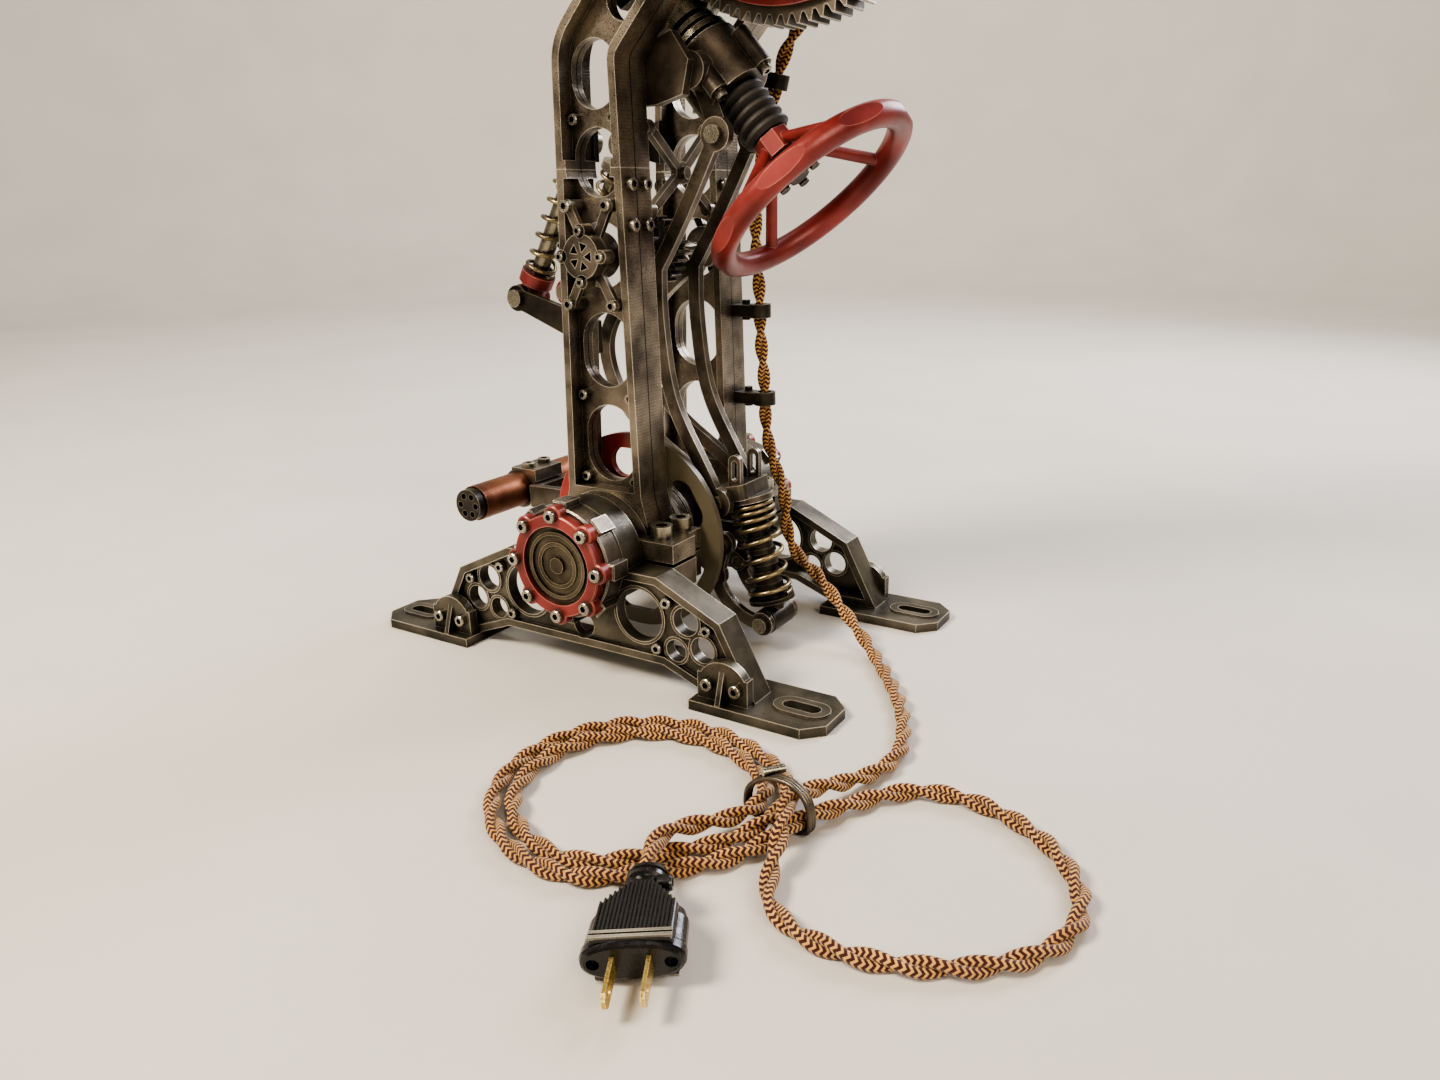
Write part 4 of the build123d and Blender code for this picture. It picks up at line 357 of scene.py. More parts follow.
def braided_cotton():
    material, tree = new_material("braided_cotton_gold_and_dark_red")
    along = add(tree, "ShaderNodeAttribute", attribute_name="along").outputs["Fac"]
    around = add(tree, "ShaderNodeAttribute", attribute_name="around").outputs["Vector"]
    parts = add(tree, "ShaderNodeSeparateXYZ", {0: around}).outputs
    angle = flow(tree, "ShaderNodeMath", {0: parts["Y"], 1: parts["X"]}, operation="ARCTAN2")
    share = {1: ROWS_ROUND_STRAND / math.tau}
    rows = flow(tree, "ShaderNodeMath", {0: angle}, share, operation="MULTIPLY")
    zigzag = flow(tree, "ShaderNodeMath", {0: rows}, {1: 0.5}, operation="PINGPONG")
    stitch = flow(tree, "ShaderNodeMath", {0: along}, {1: 1 / STITCH_LENGTH}, operation="MULTIPLY")
    phase = flow(tree, "ShaderNodeMath", {0: stitch, 1: zigzag}, operation="ADD")
    phase = flow(tree, "ShaderNodeMath", {0: phase}, {1: math.tau}, operation="MULTIPLY")
    wave = flow(tree, "ShaderNodeMath", {0: phase}, operation="SINE")
    place = add(tree, "ShaderNodeTexCoord").outputs["Object"]
    fuzz = flow(tree, "ShaderNodeTexNoise", {"Vector": place}, {"Scale": 2600.0, "Detail": 3.0})
    wave = {0: fuzz, 2: wave}
    wave = flow(tree, "ShaderNodeMath", wave, {1: FUZZ_SHARE}, operation="MULTIPLY_ADD")
    tone = flow(
        tree,
        "ShaderNodeMapRange",
        {"Value": wave},
        {"From Min": 0.3, "From Max": 0.95},
        interpolation_type="SMOOTHSTEP",
    )
    soil = flow(tree, "ShaderNodeTexNoise", {"Vector": place}, {"Scale": 30.0, "Detail": 2.0})
    golds = {6: colour("A36F30"), 7: colour("E0B068")}
    gold = add(tree, "ShaderNodeMix", {0: soil}, golds, data_type="RGBA").outputs[2]
    mixed = {0: tone, 7: gold}
    mixed = add(tree, "ShaderNodeMix", mixed, {6: colour("360F09")}, data_type="RGBA").outputs[2]
    bump = flow(tree, "ShaderNodeBump", {"Height": tone}, {"Strength": 0.9, "Distance": 0.4 * MM})
    cloth = flow(
        tree,
        "ShaderNodeBsdfPrincipled",
        {"Base Color": mixed, "Normal": bump},
        {"Roughness": 0.82, "Sheen Weight": 0.25, "Specular IOR Level": 0.3},
    )
    add(tree, "ShaderNodeOutputMaterial", {0: cloth})
    return material


COTTON = braided_cotton()
PAIR = twisted_pair_tree()


# %% Free cord on the floor and the held run above it
def make_cord(name, route):
    mesh, line = route_line(name + "_route", route)
    return grow(name, mesh, PAIR, material=COTTON), line


free_cord, free_line = make_cord("twisted_cord", FREE_ROUTE)
held_cord, _ = make_cord("held_cord", HELD_ROUTE)
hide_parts("cord_lead", "cord_coil")
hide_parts("cord_upper")
free_length = sum((b - a).length for a, b in zip(free_line, free_line[1:]))
print("free cord", round(free_length, 3), "m, faces", len(free_cord.data.polygons))

# %% [markdown]
# ## Metal finishes
# The castings look dark and old: a gun-metal coat with bronze dry-brushed over it, so raised
# edges are pale and warm. Hollows are painted nearly black, partly grime and partly painted
# shade. Painting that by hand is not needed. A Bevel node compares the rounded and the true
# normal, which finds edges, and an Ambient Occlusion node finds hollows and paints the grime and
# shade in them. Noise at two real sizes, patches and grain, breaks up colour, gloss and surface.

# %% One recipe for worn, coated metal
LOOK = dict(
    patch_mm=22.0,  # size of the colour patches
    grit_mm=0.9,  # size of the sand grain
    wear_mm=0.7,  # width of a rubbed edge
    wear=0.8,  # how bright a rubbed edge gets
    hollow_mm=7,  # how far the grime and painted shade of a hollow reach
    # colour of the grime and painted shade that the Ambient Occlusion node lays in hollows
    grime="0D0B09",
    bump=0.25,
    coat=0.0,
    line_tone="0E0C0A",
)


def worn_metal(name, dark, base, edge, metallic, roughness, drawn_mask=None, **own):
    look = {**LOOK, **own}
    material, tree = new_material(name)
    place = add(tree, "ShaderNodeTexCoord").outputs["Object"]
    size = {"Scale": 1000 / look["patch_mm"], "Detail": 5.0}
    patches = flow(tree, "ShaderNodeTexNoise", {"Vector": place}, size)
    size = {"Scale": 1000 / look["grit_mm"], "Detail": 3.0}
    grain = flow(tree, "ShaderNodeTexNoise", {"Vector": place}, size)
    spread = {"From Min": 0.36, "From Max": 0.68}
    tone = flow(tree, "ShaderNodeMapRange", {"Value": patches}, spread)
    coats = {6: colour(dark), 7: colour(base)}
    body = add(tree, "ShaderNodeMix", {0: tone}, coats, data_type="RGBA").outputs[2]
    # Grime and painted shade in hollows, from the share of open air round each point.
    size = {"Distance": look["hollow_mm"] * MM}
    air = add(tree, "ShaderNodeAmbientOcclusion", None, size, samples=4).outputs["AO"]
    air = flow(tree, "ShaderNodeMapRange", {"Value": air}, {"From Min": 0.3, "From Max": 0.92})
    grime = {6: colour(look["grime"])}
    body = add(tree, "ShaderNodeMix", {0: air, 7: body}, grime, data_type="RGBA").outputs[2]
    # Rubbed edges, from the bend between the rounded and the true surface.
    size = {"Radius": look["wear_mm"] * MM}
    normals = {0: flow(tree, "ShaderNodeBevel", None, size, samples=4)}
    normals[1] = add(tree, "ShaderNodeNewGeometry").outputs["Normal"]
    match = add(tree, "ShaderNodeVectorMath", normals, operation="DOT_PRODUCT").outputs["Value"]
    bend = flow(tree, "ShaderNodeMath", {1: match}, {0: 1.0}, operation="SUBTRACT")
    chance = flow(tree, "ShaderNodeMath", {0: patches, 1: grain}, operation="ADD")
    rubbed = flow(tree, "ShaderNodeMath", {0: bend, 1: chance}, operation="MULTIPLY")
    spread = {"From Min": 0.02, "From Max": 0.16, "To Max": look["wear"]}
    wear = flow(tree, "ShaderNodeMapRange", {"Value": rubbed}, spread)
    wear = flow(tree, "ShaderNodeMath", {0: wear, 1: air}, operation="MULTIPLY")
    pale = {7: colour(edge)}
    skin = add(tree, "ShaderNodeMix", {0: wear, 6: body}, pale, data_type="RGBA").outputs[2]
    spread = {"From Min": 0.3, "From Max": 0.7}
    spread |= {"To Min": roughness - 0.1, "To Max": roughness + 0.12}
    gloss = flow(tree, "ShaderNodeMapRange", {"Value": grain}, spread)
    depth = {"Strength": look["bump"], "Distance": 0.2 * MM}
    bump = flow(tree, "ShaderNodeBump", {"Height": grain}, depth)
    if drawn_mask:
        mask = drawn_mask(tree, place)
        ink = {7: colour(look["line_tone"])}
        skin = add(tree, "ShaderNodeMix", {0: mask, 6: skin}, ink, data_type="RGBA").outputs[2]
        depth = {"Strength": 0.5, "Distance": 0.3 * MM}
        bump = flow(tree, "ShaderNodeBump", {"Height": mask, "Normal": bump}, depth, invert=True)
    shader = flow(
        tree,
        "ShaderNodeBsdfPrincipled",
        {"Base Color": skin, "Roughness": gloss, "Normal": bump},
        {"Metallic": metallic, "Coat Weight": look["coat"], "Coat Roughness": 0.25},
    )
    add(tree, "ShaderNodeOutputMaterial", {0: shader})
    return material


# %% [markdown]
# ### Masks that belong to the shape
# Three finishes carry a drawn mask. Each column flange is two castings back to back, so a dark
# seam runs down its middle, and the webs keep slanted strokes from grinding. The round badge is
# bare, with the fine circles a lathe leaves. The big disc between the columns is red only at its
# upper back. All are worked out from the position.

# %% Seam and strokes, turned circles, front of the disc
SEAM_SIDE = 45 * MM
SEAM_HALF_WIDTH = 0.4 * MM
STROKE_PITCH = 1.6 * MM
STROKE_WAVER = 7.0
BADGE_HEIGHT = 67 * MM
LATHE_PITCH = 1.1 * MM


def column_mask(tree, place):
    axes = add(tree, "ShaderNodeSeparateXYZ", {0: place}).outputs
    side = flow(tree, "ShaderNodeMath", {0: axes["Y"]}, operation="ABSOLUTE")
    middle = {1: SEAM_SIDE, 2: SEAM_HALF_WIDTH}
    seam = flow(tree, "ShaderNodeMath", {0: side}, middle, operation="COMPARE")
    slant = flow(tree, "ShaderNodeMath", {0: axes["X"], 1: axes["Z"]}, operation="ADD")
    share = {1: math.tau / STROKE_PITCH}
    stroke = flow(tree, "ShaderNodeMath", {0: slant}, share, operation="MULTIPLY")
    waver = flow(tree, "ShaderNodeTexNoise", {"Vector": place}, {"Scale": 120.0, "Detail": 2.0})
    bent = {0: waver, 2: stroke}
    stroke = flow(tree, "ShaderNodeMath", bent, {1: STROKE_WAVER}, operation="MULTIPLY_ADD")
    stroke = flow(tree, "ShaderNodeMath", {0: stroke}, operation="SINE")
    spread = {"From Min": 0.2, "From Max": 1.0, "To Max": 0.22}
    faint = flow(tree, "ShaderNodeMapRange", {"Value": stroke}, spread)
    return flow(tree, "ShaderNodeMath", {0: seam, 1: faint}, operation="MAXIMUM")


def badge_mask(tree, place):
    axes = add(tree, "ShaderNodeSeparateXYZ", {0: place}).outputs
    height = flow(tree, "ShaderNodeMath", {0: axes["Z"]}, {1: BADGE_HEIGHT}, operation="SUBTRACT")
    flat = flow(tree, "ShaderNodeCombineXYZ", {"X": axes["X"], "Z": height})
    reach = add(tree, "ShaderNodeVectorMath", {0: flat}, operation="LENGTH").outputs["Value"]
    share = {1: math.tau / LATHE_PITCH}
    ring = flow(tree, "ShaderNodeMath", {0: reach}, share, operation="MULTIPLY")
    ring = flow(tree, "ShaderNodeMath", {0: ring}, operation="SINE")
    spread = {"From Min": -0.2, "From Max": 1.0, "To Max": 0.45}
    return flow(tree, "ShaderNodeMapRange", {"Value": ring}, spread)


def disc_mask(tree, place):
    axes = add(tree, "ShaderNodeSeparateXYZ", {0: place}).outputs
    spread = {"From Min": -6 * MM, "From Max": 0.0}
    front = flow(tree, "ShaderNodeMapRange", {"Value": axes["X"]}, spread)
    spread = {"From Min": 64 * MM, "From Max": 58 * MM}
    low = flow(tree, "ShaderNodeMapRange", {"Value": axes["Z"]}, spread)
    return flow(tree, "ShaderNodeMath", {0: front, 1: low}, operation="MAXIMUM")


# %% The metals of this stand
# Every finish below gets grime and painted shade in its hollows, in its own colour.
# Sand-cast alloy with a gun-metal coat: satin, slightly brown, pale bronze where rubbed.
RUBBED = dict(wear=1.0, wear_mm=0.9)
CAST_FRAME = worn_metal(
    "gun_metal_coated_casting", "453F38", "82786A", "F0E7D4", 0.85, 0.35, **RUBBED
)
# The columns have the same coat, with the seam and the grinding strokes.
CAST_COLUMN = worn_metal(
    "gun_metal_coated_column", "4D463D", "958A79", "F5ECDA", 0.85, 0.32, column_mask, wear=1.0
)
# The feet have the same coat, darker and greener.
CAST_FEET = worn_metal(
    "dark_olive_coated_casting", "39362F", "6D675A", "EAE1CC", 0.8, 0.36, **RUBBED
)
# Small turned and cast fittings are nearly black with thin bright edges.
BLACK_IRON = worn_metal(
    "blackened_iron_fitting", "211E1B", "4A443B", "BDB198", 0.8, 0.36, wear=0.7
)
# The bare badge: dark turned alloy with lathe circles.
TURNED_BADGE = worn_metal(
    "turned_dark_alloy_badge", "4A4338", "7A6F5B", "C4B698", 0.9, 0.32, badge_mask
)
# Red enamel rubbed matt, with grime and painted shade in the hollows, brighter on the edges.
RED = dict(patch_mm=30.0, grit_mm=0.6, wear_mm=1.0, grime="240807", coat=0.1, bump=0.1)
RED_ENAMEL = worn_metal("rubbed_red_enamel", "5E1916", "8C342F", "D8948A", 0.25, 0.4, **RED)
# The disc between the columns is red at its upper back and oiled elsewhere.
PART_RED = dict(RED, line_tone="57503F")
RED_DISC = worn_metal(
    "rubbed_red_disc_dark_front", "731C19", "A63A34", "D98A7A", 0.2, 0.42, disc_mask, **PART_RED
)
# Copper tube gone brown, with orange where it is handled.
AGED_COPPER = worn_metal(
    "aged_copper_tube", "54301F", "84543A", "D3A27E", 0.85, 0.42, grime="1E0D07"
)
# Nickel-plated pins and shafts, slightly yellow, with grime and painted shade in the recesses.
NICKEL = worn_metal(
    "nickel_plated_steel", "75705F", "AAA493", "EFE9D8", 0.95, 0.26, grime="0C0B09", grit_mm=0.5
)
# Blackened socket screws with rims polished by the key.
KEYED = dict(grime="050504", wear_mm=0.6, wear=1.0)
SCREW_STEEL = worn_metal(
    "blackened_socket_screw", "6B665B", "A39C8C", "F5F0E0", 0.9, 0.26, **KEYED
)
# Spring wire with an antique brown lacquer.
SPRING_WIRE = worn_metal(
    "antique_lacquered_spring", "6A5F4A", "A3946E", "E6D4A8", 0.9, 0.32, wear_mm=0.4
)
# Solid brass, drawn flat, bright with fine drag lines.
DRAWN = dict(grime="A07C34", bump=0.05, hollow_mm=1)
BRASS = worn_metal("drawn_brass_blade", "CFAE58", "EBD084", "FBF0C6", 0.9, 0.3, **DRAWN)
# Moulded rubber gaiter, matt, with dust on the crests.
DUSTY = dict(grime="0A0A09", wear=0.5)
RUBBER = worn_metal("moulded_dark_rubber", "1E1C19", "393530", "6E685C", 0.1, 0.55, **DUSTY)
# Hard black plug plastic, glossy where it is worn.
MOULDED = dict(wear_mm=0.35, wear=0.12, grime="050404", bump=0.02, grit_mm=3.0)
PLUG_PLASTIC = worn_metal(
    "moulded_black_plug_plastic", "0B0A09", "161412", "8A8375", 0.0, 0.24, **MOULDED
)
# The grip ribs are matt black and hold no shine, and the two lips in front are polished by hands.
MATT = dict(wear=0.3, wear_mm=0.12, bump=0.0)
PLUG_RIB = worn_metal("matt_black_plug_ribs", "0D0C0B", "1B1917", "3A3630", 0.0, 0.5, **MATT)
POLISHED = dict(wear_mm=0.3, bump=0.0)
PLUG_LIP = worn_metal(
    "hand_polished_plug_lips", "5E5A52", "8F8A7E", "DCD6C8", 0.1, 0.22, **POLISHED
)
print("metal finishes", len(bpy.data.materials))

# %% [markdown]
# ## Glass bulb
# The lamp head is above the picture, so its bulb is an ordinary round frosted one: a thin warm
# glass that passes a little light. A low transmission keeps it from looking empty in daylight.


# %% Frosted glass material
def frosted_glass():
    material, tree = new_material("frosted_bulb_glass")
    place = add(tree, "ShaderNodeTexCoord").outputs["Object"]
    frost = flow(tree, "ShaderNodeTexNoise", {"Vector": place}, {"Scale": 900.0, "Detail": 2.0})
    bump = flow(tree, "ShaderNodeBump", {"Height": frost}, {"Strength": 0.06, "Distance": 0.1 * MM})
    rough = flow(tree, "ShaderNodeMapRange", {"Value": frost}, {"To Min": 0.3, "To Max": 0.45})
    glass = flow(
        tree,
        "ShaderNodeBsdfPrincipled",
        {"Normal": bump, "Roughness": rough},
        {"Base Color": colour("F4ECDC"), "Transmission Weight": 0.45, "IOR": 1.45},
    )
    add(tree, "ShaderNodeOutputMaterial", {0: glass})
    return material


BULB_GLASS = frosted_glass()

# %% [markdown]
# ## Each CAD node gets its finish
# A table says which nodes wear each finish. A node that is missing from it takes the frame's
# own coat, so nothing is ever left in a plain colour.

# %% Finishes by node
BLACK_FITTINGS = ("rear_arms", "canister_caps", "cord_fittings", "hub_plate", "damper_body")
BRIGHT_STEEL = ("clamp_screws", "pivot_pins", "wheel_axle", "cross_shaft", "worm_shaft")
COLUMNS = ("column_lower_near", "column_lower_far", "column_upper_near", "column_upper_far")
WEARERS = (
    (CAST_FEET, ("foot_plate_near", "foot_plate_far", "foot_pads")),
    (CAST_COLUMN, COLUMNS),
    (TURNED_BADGE, ("badge_discs",)),
    (RED_ENAMEL, ("cap_rings", "handwheel", "rear_cups", "wheel_covers", "shade")),
    (RED_DISC, ("index_disc",)),
    (AGED_COPPER, ("canister_tubes",)),
    (NICKEL, (*BRIGHT_STEEL, "rear_dampers")),
    (SPRING_WIRE, ("shock_spring", "rear_springs")),
    (BRASS, ("plug_blades", "switch_key")),
    (BLACK_IRON, (*BLACK_FITTINGS, "column_gear", "lamp_socket", "cord_tie")),
    (RUBBER, ("bellows",)),
    (BULB_GLASS, ("bulb",)),
)
FINISHES = {name: finish for finish, names in WEARERS for name in names}
for name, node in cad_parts.items():
    node.data.materials.clear()
    node.data.materials.append(FINISHES.get(name, CAST_FRAME))
print("dressed", len(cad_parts), "nodes")

# %% [markdown]
# ## Socket screws
# Dozens of small screws hold the castings. Each has a rounded head with a hexagon recess. The
# CAD solids give every head's place, size and direction, and one Geometry Nodes tree builds a
# head once, cuts the recess with a boolean, and sets a copy on every point. The four screws of
# each round column cap stand above, below and beside its middle, so they are turned by 45 degrees.


# %% Read the screw places from the CAD solids
UPRIGHT = 0.95  # from here on an axis counts as vertical
SAME_POINT = 1e-6


def facing(face):
    """A face's direction without its sign, rounded, so that parallel flats count together."""
    return tuple(round(abs(c), 3) for c in face.normal)


def screw_places(node_name):
    """Centre of the outer face, direction, radius and height of each screw in a node."""
    work = bmesh.new()
    work.from_mesh(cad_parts[node_name].data)
    bmesh.ops.remove_doubles(work, verts=work.verts, dist=SAME_POINT)
    left = dict.fromkeys(work.faces)
    found = []
    while left:
        island = [next(iter(left))]
        del left[island[0]]
        for face in island:  # the island grows while it is read
            for other in (other for edge in face.edges for other in edge.link_faces):
                if other in left:
                    del left[other]
                    island.append(other)
        flats = {}
        for face in island:
            flats[facing(face)] = flats.get(facing(face), 0.0) + face.calc_area()
        widest = max(flats, key=flats.get)
        axis = next(face.normal.copy() for face in island if facing(face) == widest)
        corners = {v for face in island for v in face.verts}
        middle = sum((v.co for v in corners), Vector()) / len(corners)
        away = Vector((middle.x, middle.y, 0.0)) if abs(axis.z) < UPRIGHT else Vector((0, 0, 1))
        if axis.dot(away) < 0:
            axis.negate()
        arms = [v.co - middle for v in corners]
        spans = [arm.dot(axis) for arm in arms]
        radius = max((arm - axis * arm.dot(axis)).length for arm in arms)
        found.append((middle + axis * min(spans), axis, radius, max(spans) - min(spans)))
    work.free()
    return found


SCREW_NODES = ("base_screws", "web_screws", "hex_bolts", "gearbox_screws")
places = {name: screw_places(name) for name in SCREW_NODES}
print({name: len(found) for name, found in places.items()})

# %% Geometry Nodes: one socket head on every point
HEAD_SIZES = {"Recess share": 0.56, "Recess depth": 0.6, "Rim": 0.16}
RIM_NARROWS = 0.86
RECESS_TOP = 1.05


def socket_head_tree():
    tree, given = new_group("socket_heads", HEAD_SIZES)
    lower = flow(tree, "ShaderNodeMath", {1: given["Rim"]}, {0: 1.0}, operation="SUBTRACT")
    drum = {"Vertices": 24, "Radius": 1.0}
    drum = add(tree, "GeometryNodeMeshCylinder", {"Depth": lower}, drum).outputs
    lift = flow(tree, "ShaderNodeMath", {0: lower}, {1: 0.5}, operation="MULTIPLY")
    lift = flow(tree, "ShaderNodeCombineXYZ", {"Z": lift})
    lifted = flow(tree, "GeometryNodeTransform", {"Geometry": drum["Mesh"], "Translation": lift})
    rim = {"Mesh": lifted, "Selection": drum["Top"], "Offset Scale": given["Rim"]}
    rim = add(tree, "GeometryNodeExtrudeMesh", rim, mode="FACES").outputs
    top = {"Geometry": rim["Mesh"], "Selection": rim["Top"]}
    top = flow(tree, "GeometryNodeScaleElements", top, {"Scale": RIM_NARROWS}, domain="FACE")
    hexagon = {"Radius": given["Recess share"], "Depth": given["Recess depth"]}
    hexagon = add(tree, "GeometryNodeMeshCylinder", hexagon, {"Vertices": 6}).outputs["Mesh"]
    half = flow(tree, "ShaderNodeMath", {0: given["Recess depth"]}, {1: 0.5}, operation="MULTIPLY")
    rise = flow(tree, "ShaderNodeMath", {1: half}, {0: RECESS_TOP}, operation="SUBTRACT")
    rise = flow(tree, "ShaderNodeCombineXYZ", {"Z": rise})
    hexagon = flow(tree, "GeometryNodeTransform", {"Geometry": hexagon, "Translation": rise})
    head = flow(
        tree,
        "GeometryNodeMeshBoolean",
        {"Mesh 1": top, "Mesh 2": hexagon},
        operation="DIFFERENCE",
        solver="EXACT",
    )
    aimed, sized = (
        flow(tree, "GeometryNodeInputNamedAttribute", None, {"Name": key}, data_type="FLOAT_VECTOR")
        for key in ("aim", "size")
    )
    turn = flow(tree, "FunctionNodeAlignRotationToVector", {"Vector": aimed}, axis="Z")
    copies = {"Points": given["Geometry"], "Instance": head, "Rotation": turn, "Scale": sized}
    copies = flow(tree, "GeometryNodeInstanceOnPoints", copies)
    return close_group(tree, copies, given["Material"])


SOCKET_HEADS = socket_head_tree()


def make_screws(name, found, material):
    at, aims, radii, heights = zip(*found)
    sizes = [(radius, radius, height) for radius, height in zip(radii, heights)]
    points = points_mesh(name + "_points", at, aim=aims, size=sizes)
    return grow(name, points, SOCKET_HEADS, material=material)


# %% Turn the screws of the caps, then set the heads
CAP_HEIGHT = 225.0
CAP_RADIUS = 11.5
CAP_DEPTH = 7.4
CAP_OUTER_FACE = 67.4
LOBE_CIRCLE = 12.8
LOBE_RADIUS = 3.5
SLACK = 0.8  # from the circle of the lobes
cap_centre = Vector((0.0, 0.0, CAP_HEIGHT)) * MM
turned_places = []
for at, axis, radius, height in places["web_screws"]:
    arm = Vector((at.x, 0.0, at.z - cap_centre.z))
    if abs(arm.length - LOBE_CIRCLE * MM) < SLACK * MM:
        arm.rotate(Matrix.Rotation(math.radians(45), 3, "Y"))
        at = Vector((arm.x, at.y, arm.z + cap_centre.z))
    turned_places.append((at, axis, radius, height))
places["web_screws"] = turned_places
for name, found in places.items():
    heads = make_screws(name + "_heads", found, SCREW_STEEL)
    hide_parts(name)
    print(heads.name, len(heads.data.polygons), "faces")

# %% [markdown]
# ## The moulded plug
# The plug is one hard black moulding: a grooved collar where the cord goes in, a waist, a wedge
# that widens to two lips, and an oval nose with two screw wells. It is lofted in two overlapping
# skins, the rounded body and the flat wedge on it.

# %% Plug frame at the cord's end
PLUG_AT = Vector(FREE_ROUTE[-1]) * MM
HEADING, DROOP, ROLL = (math.radians(a) for a in (-62.5, -3.0, 6.0))
PLUG_Z = Vector((math.cos(HEADING), math.sin(HEADING), 0.0)) * math.cos(DROOP)
PLUG_Z.z = math.sin(DROOP)
LEVEL_X = Vector((-PLUG_Z.y, PLUG_Z.x, 0)).normalized()
LEVEL_Y = PLUG_Z.cross(LEVEL_X)
PLUG_X = LEVEL_X * math.cos(ROLL) + LEVEL_Y * math.sin(ROLL)
PLUG_Y = PLUG_Z.cross(PLUG_X)
PLUG_PLACE = Matrix((PLUG_X, PLUG_Y, PLUG_Z)).transposed().to_4x4()
PLUG_PLACE.translation = PLUG_AT
# Each station: distance along, half width and half thickness in millimetres, squareness.
BODY_STATIONS = [
    (0.0, 6.0, 5.6, 2.0),
    (0.6, 8.0, 7.4, 2.2),
    (2.2, 8.2, 7.6, 2.2),
    (2.6, 7.4, 6.9, 2.2),
    (3.3, 7.4, 6.9, 2.2),
    (3.7, 8.2, 7.6, 2.2),
    (5.6, 8.2, 7.6, 2.2),
    (6.4, 7.0, 6.6, 2.2),
    (9.5, 5.6, 5.9, 2.2),
    (12.0, 6.6, 6.2, 2.3),
    (16.5, 11.5, 6.5, 2.4),
    (21.0, 16.2, 6.7, 2.4),
    (25.0, 17.6, 6.8, 2.4),
    (37.4, 18.0, 7.0, 2.4),
    (38.4, 18.4, 7.6, 2.4),
    (41.6, 18.4, 7.6, 2.4),
    (42.9, 17.8, 7.3, 2.4),
    (43.6, 16.6, 6.2, 2.4),
]
WEDGE_STATIONS = [
    (7.0, 3.6, 6.4, 7.0),
    (10.0, 3.8, 7.4, 9.0),
    (12.0, 5.6, 7.7, 9.0),
    (22.5, 14.4, 7.9, 10.0),
    (36.6, 14.6, 7.9, 10.0),
    (40.9, 14.7, 8.0, 10.0),
    (41.2, 14.4, 7.2, 10.0),
]


# %% Loft the two skins of the plug
SKIN_SIDES = 96


def lofted(name, stations):
    """A closed skin of the plug through squared ovals."""
    work = bmesh.new()
    rings = []
    for t, a, b, n in stations:
        ring = []
        for k in range(SKIN_SIDES):
            turn = math.tau * k / SKIN_SIDES
            c, s = math.cos(turn), math.sin(turn)
            x = a * math.copysign(abs(c) ** (2 / n), c)
            y = b * math.copysign(abs(s) ** (2 / n), s)
            ring.append(work.verts.new(PLUG_PLACE @ (Vector((x, y, t)) * MM)))
        rings.append(ring)
    bridge(work, rings)
    work.faces.new(rings[0][::-1])
    work.faces.new(rings[-1])
    bmesh.ops.recalc_face_normals(work, faces=work.faces)
    made = link_object(name, mesh_from(work, name))
    made.data.materials.append(PLUG_PLASTIC)
    return made


# %% Cut the two screw wells and finish the plug
PIN_LENGTH = 10.0
WELL_SIDE = 13.4
WELL_RADIUS = 2.3
NOSE_AT = 44.0


def pin(name, radius, place):
    """A plain round pin, used as a drill here and as a peg in the tie."""
    work = bmesh.new()
    ends = dict(radius1=radius * MM, radius2=radius * MM, depth=PIN_LENGTH * MM)
    bmesh.ops.create_cone(work, cap_ends=True, segments=28, **ends)
    work.transform(place)
    return link_object(name, mesh_from(work, name))


moulding = lofted("plug_body_work", BODY_STATIONS)
cutters = []
for x in (-WELL_SIDE, WELL_SIDE):
    drilled = PLUG_PLACE @ Matrix.Translation(Vector((x, 0.0, NOSE_AT)) * MM)
    cutters.append(pin("well_cutter", WELL_RADIUS, drilled))
    cut = moulding.modifiers.new("well", "BOOLEAN")
    cut.object = cutters[-1]
    cut.operation = "DIFFERENCE"
    cut.solver = "EXACT"
plug = plain_mesh(moulding, "plug_moulding")
for cutter in cutters:
    bpy.data.objects.remove(cutter)
wedge = lofted("plug_wedge", WEDGE_STATIONS)
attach(wedge, "stand")
print("plug lowest", round(min(v.co.z for v in plug.data.vertices) * 1000, 2), "mm")

# %% [markdown]
# ### Grip ribs
# Fine ribs run along the wedge for grip. Geometry Nodes set one bar on every point, and each
# point carries its own length, so the ribs stop at the slanted sides of the wedge. The two
# polished lips are broad bars from the same tree.

# %% Geometry Nodes: bars on points
BAR_SIZES = {"Bar width": 0.75 * MM, "Bar height": 0.9 * MM}


def bar_tree():
    tree, given = new_group("bars_on_points", BAR_SIZES)
    size = {"X": given["Bar width"], "Y": given["Bar height"]}
    size = flow(tree, "ShaderNodeCombineXYZ", size, {"Z": 1.0})
    bar = add(tree, "GeometryNodeMeshCube", {"Size": size}).outputs["Mesh"]
    note = {"Name": "reach"}
    reach = flow(tree, "GeometryNodeInputNamedAttribute", None, note, data_type="FLOAT")
    stretch = flow(tree, "ShaderNodeCombineXYZ", {"Z": reach}, {"X": 1.0, "Y": 1.0})
    copies = {"Points": given["Geometry"], "Instance": bar, "Scale": stretch}
    copies = flow(tree, "GeometryNodeInstanceOnPoints", copies)
    return close_group(tree, copies, given["Material"])


BARS_ON_POINTS = bar_tree()


def bars_on_plug(name, rows, **inputs):
    """Bars on the plug. Each row: x, y, distance along and length, in millimetres."""
    at = [Vector(row[:3]) * MM for row in rows]
    points = points_mesh(name + "_points", at, reach=[row[3] * MM for row in rows])
    made = grow(name, points, BARS_ON_POINTS, **inputs)
    made.data.transform(PLUG_PLACE)
    return made


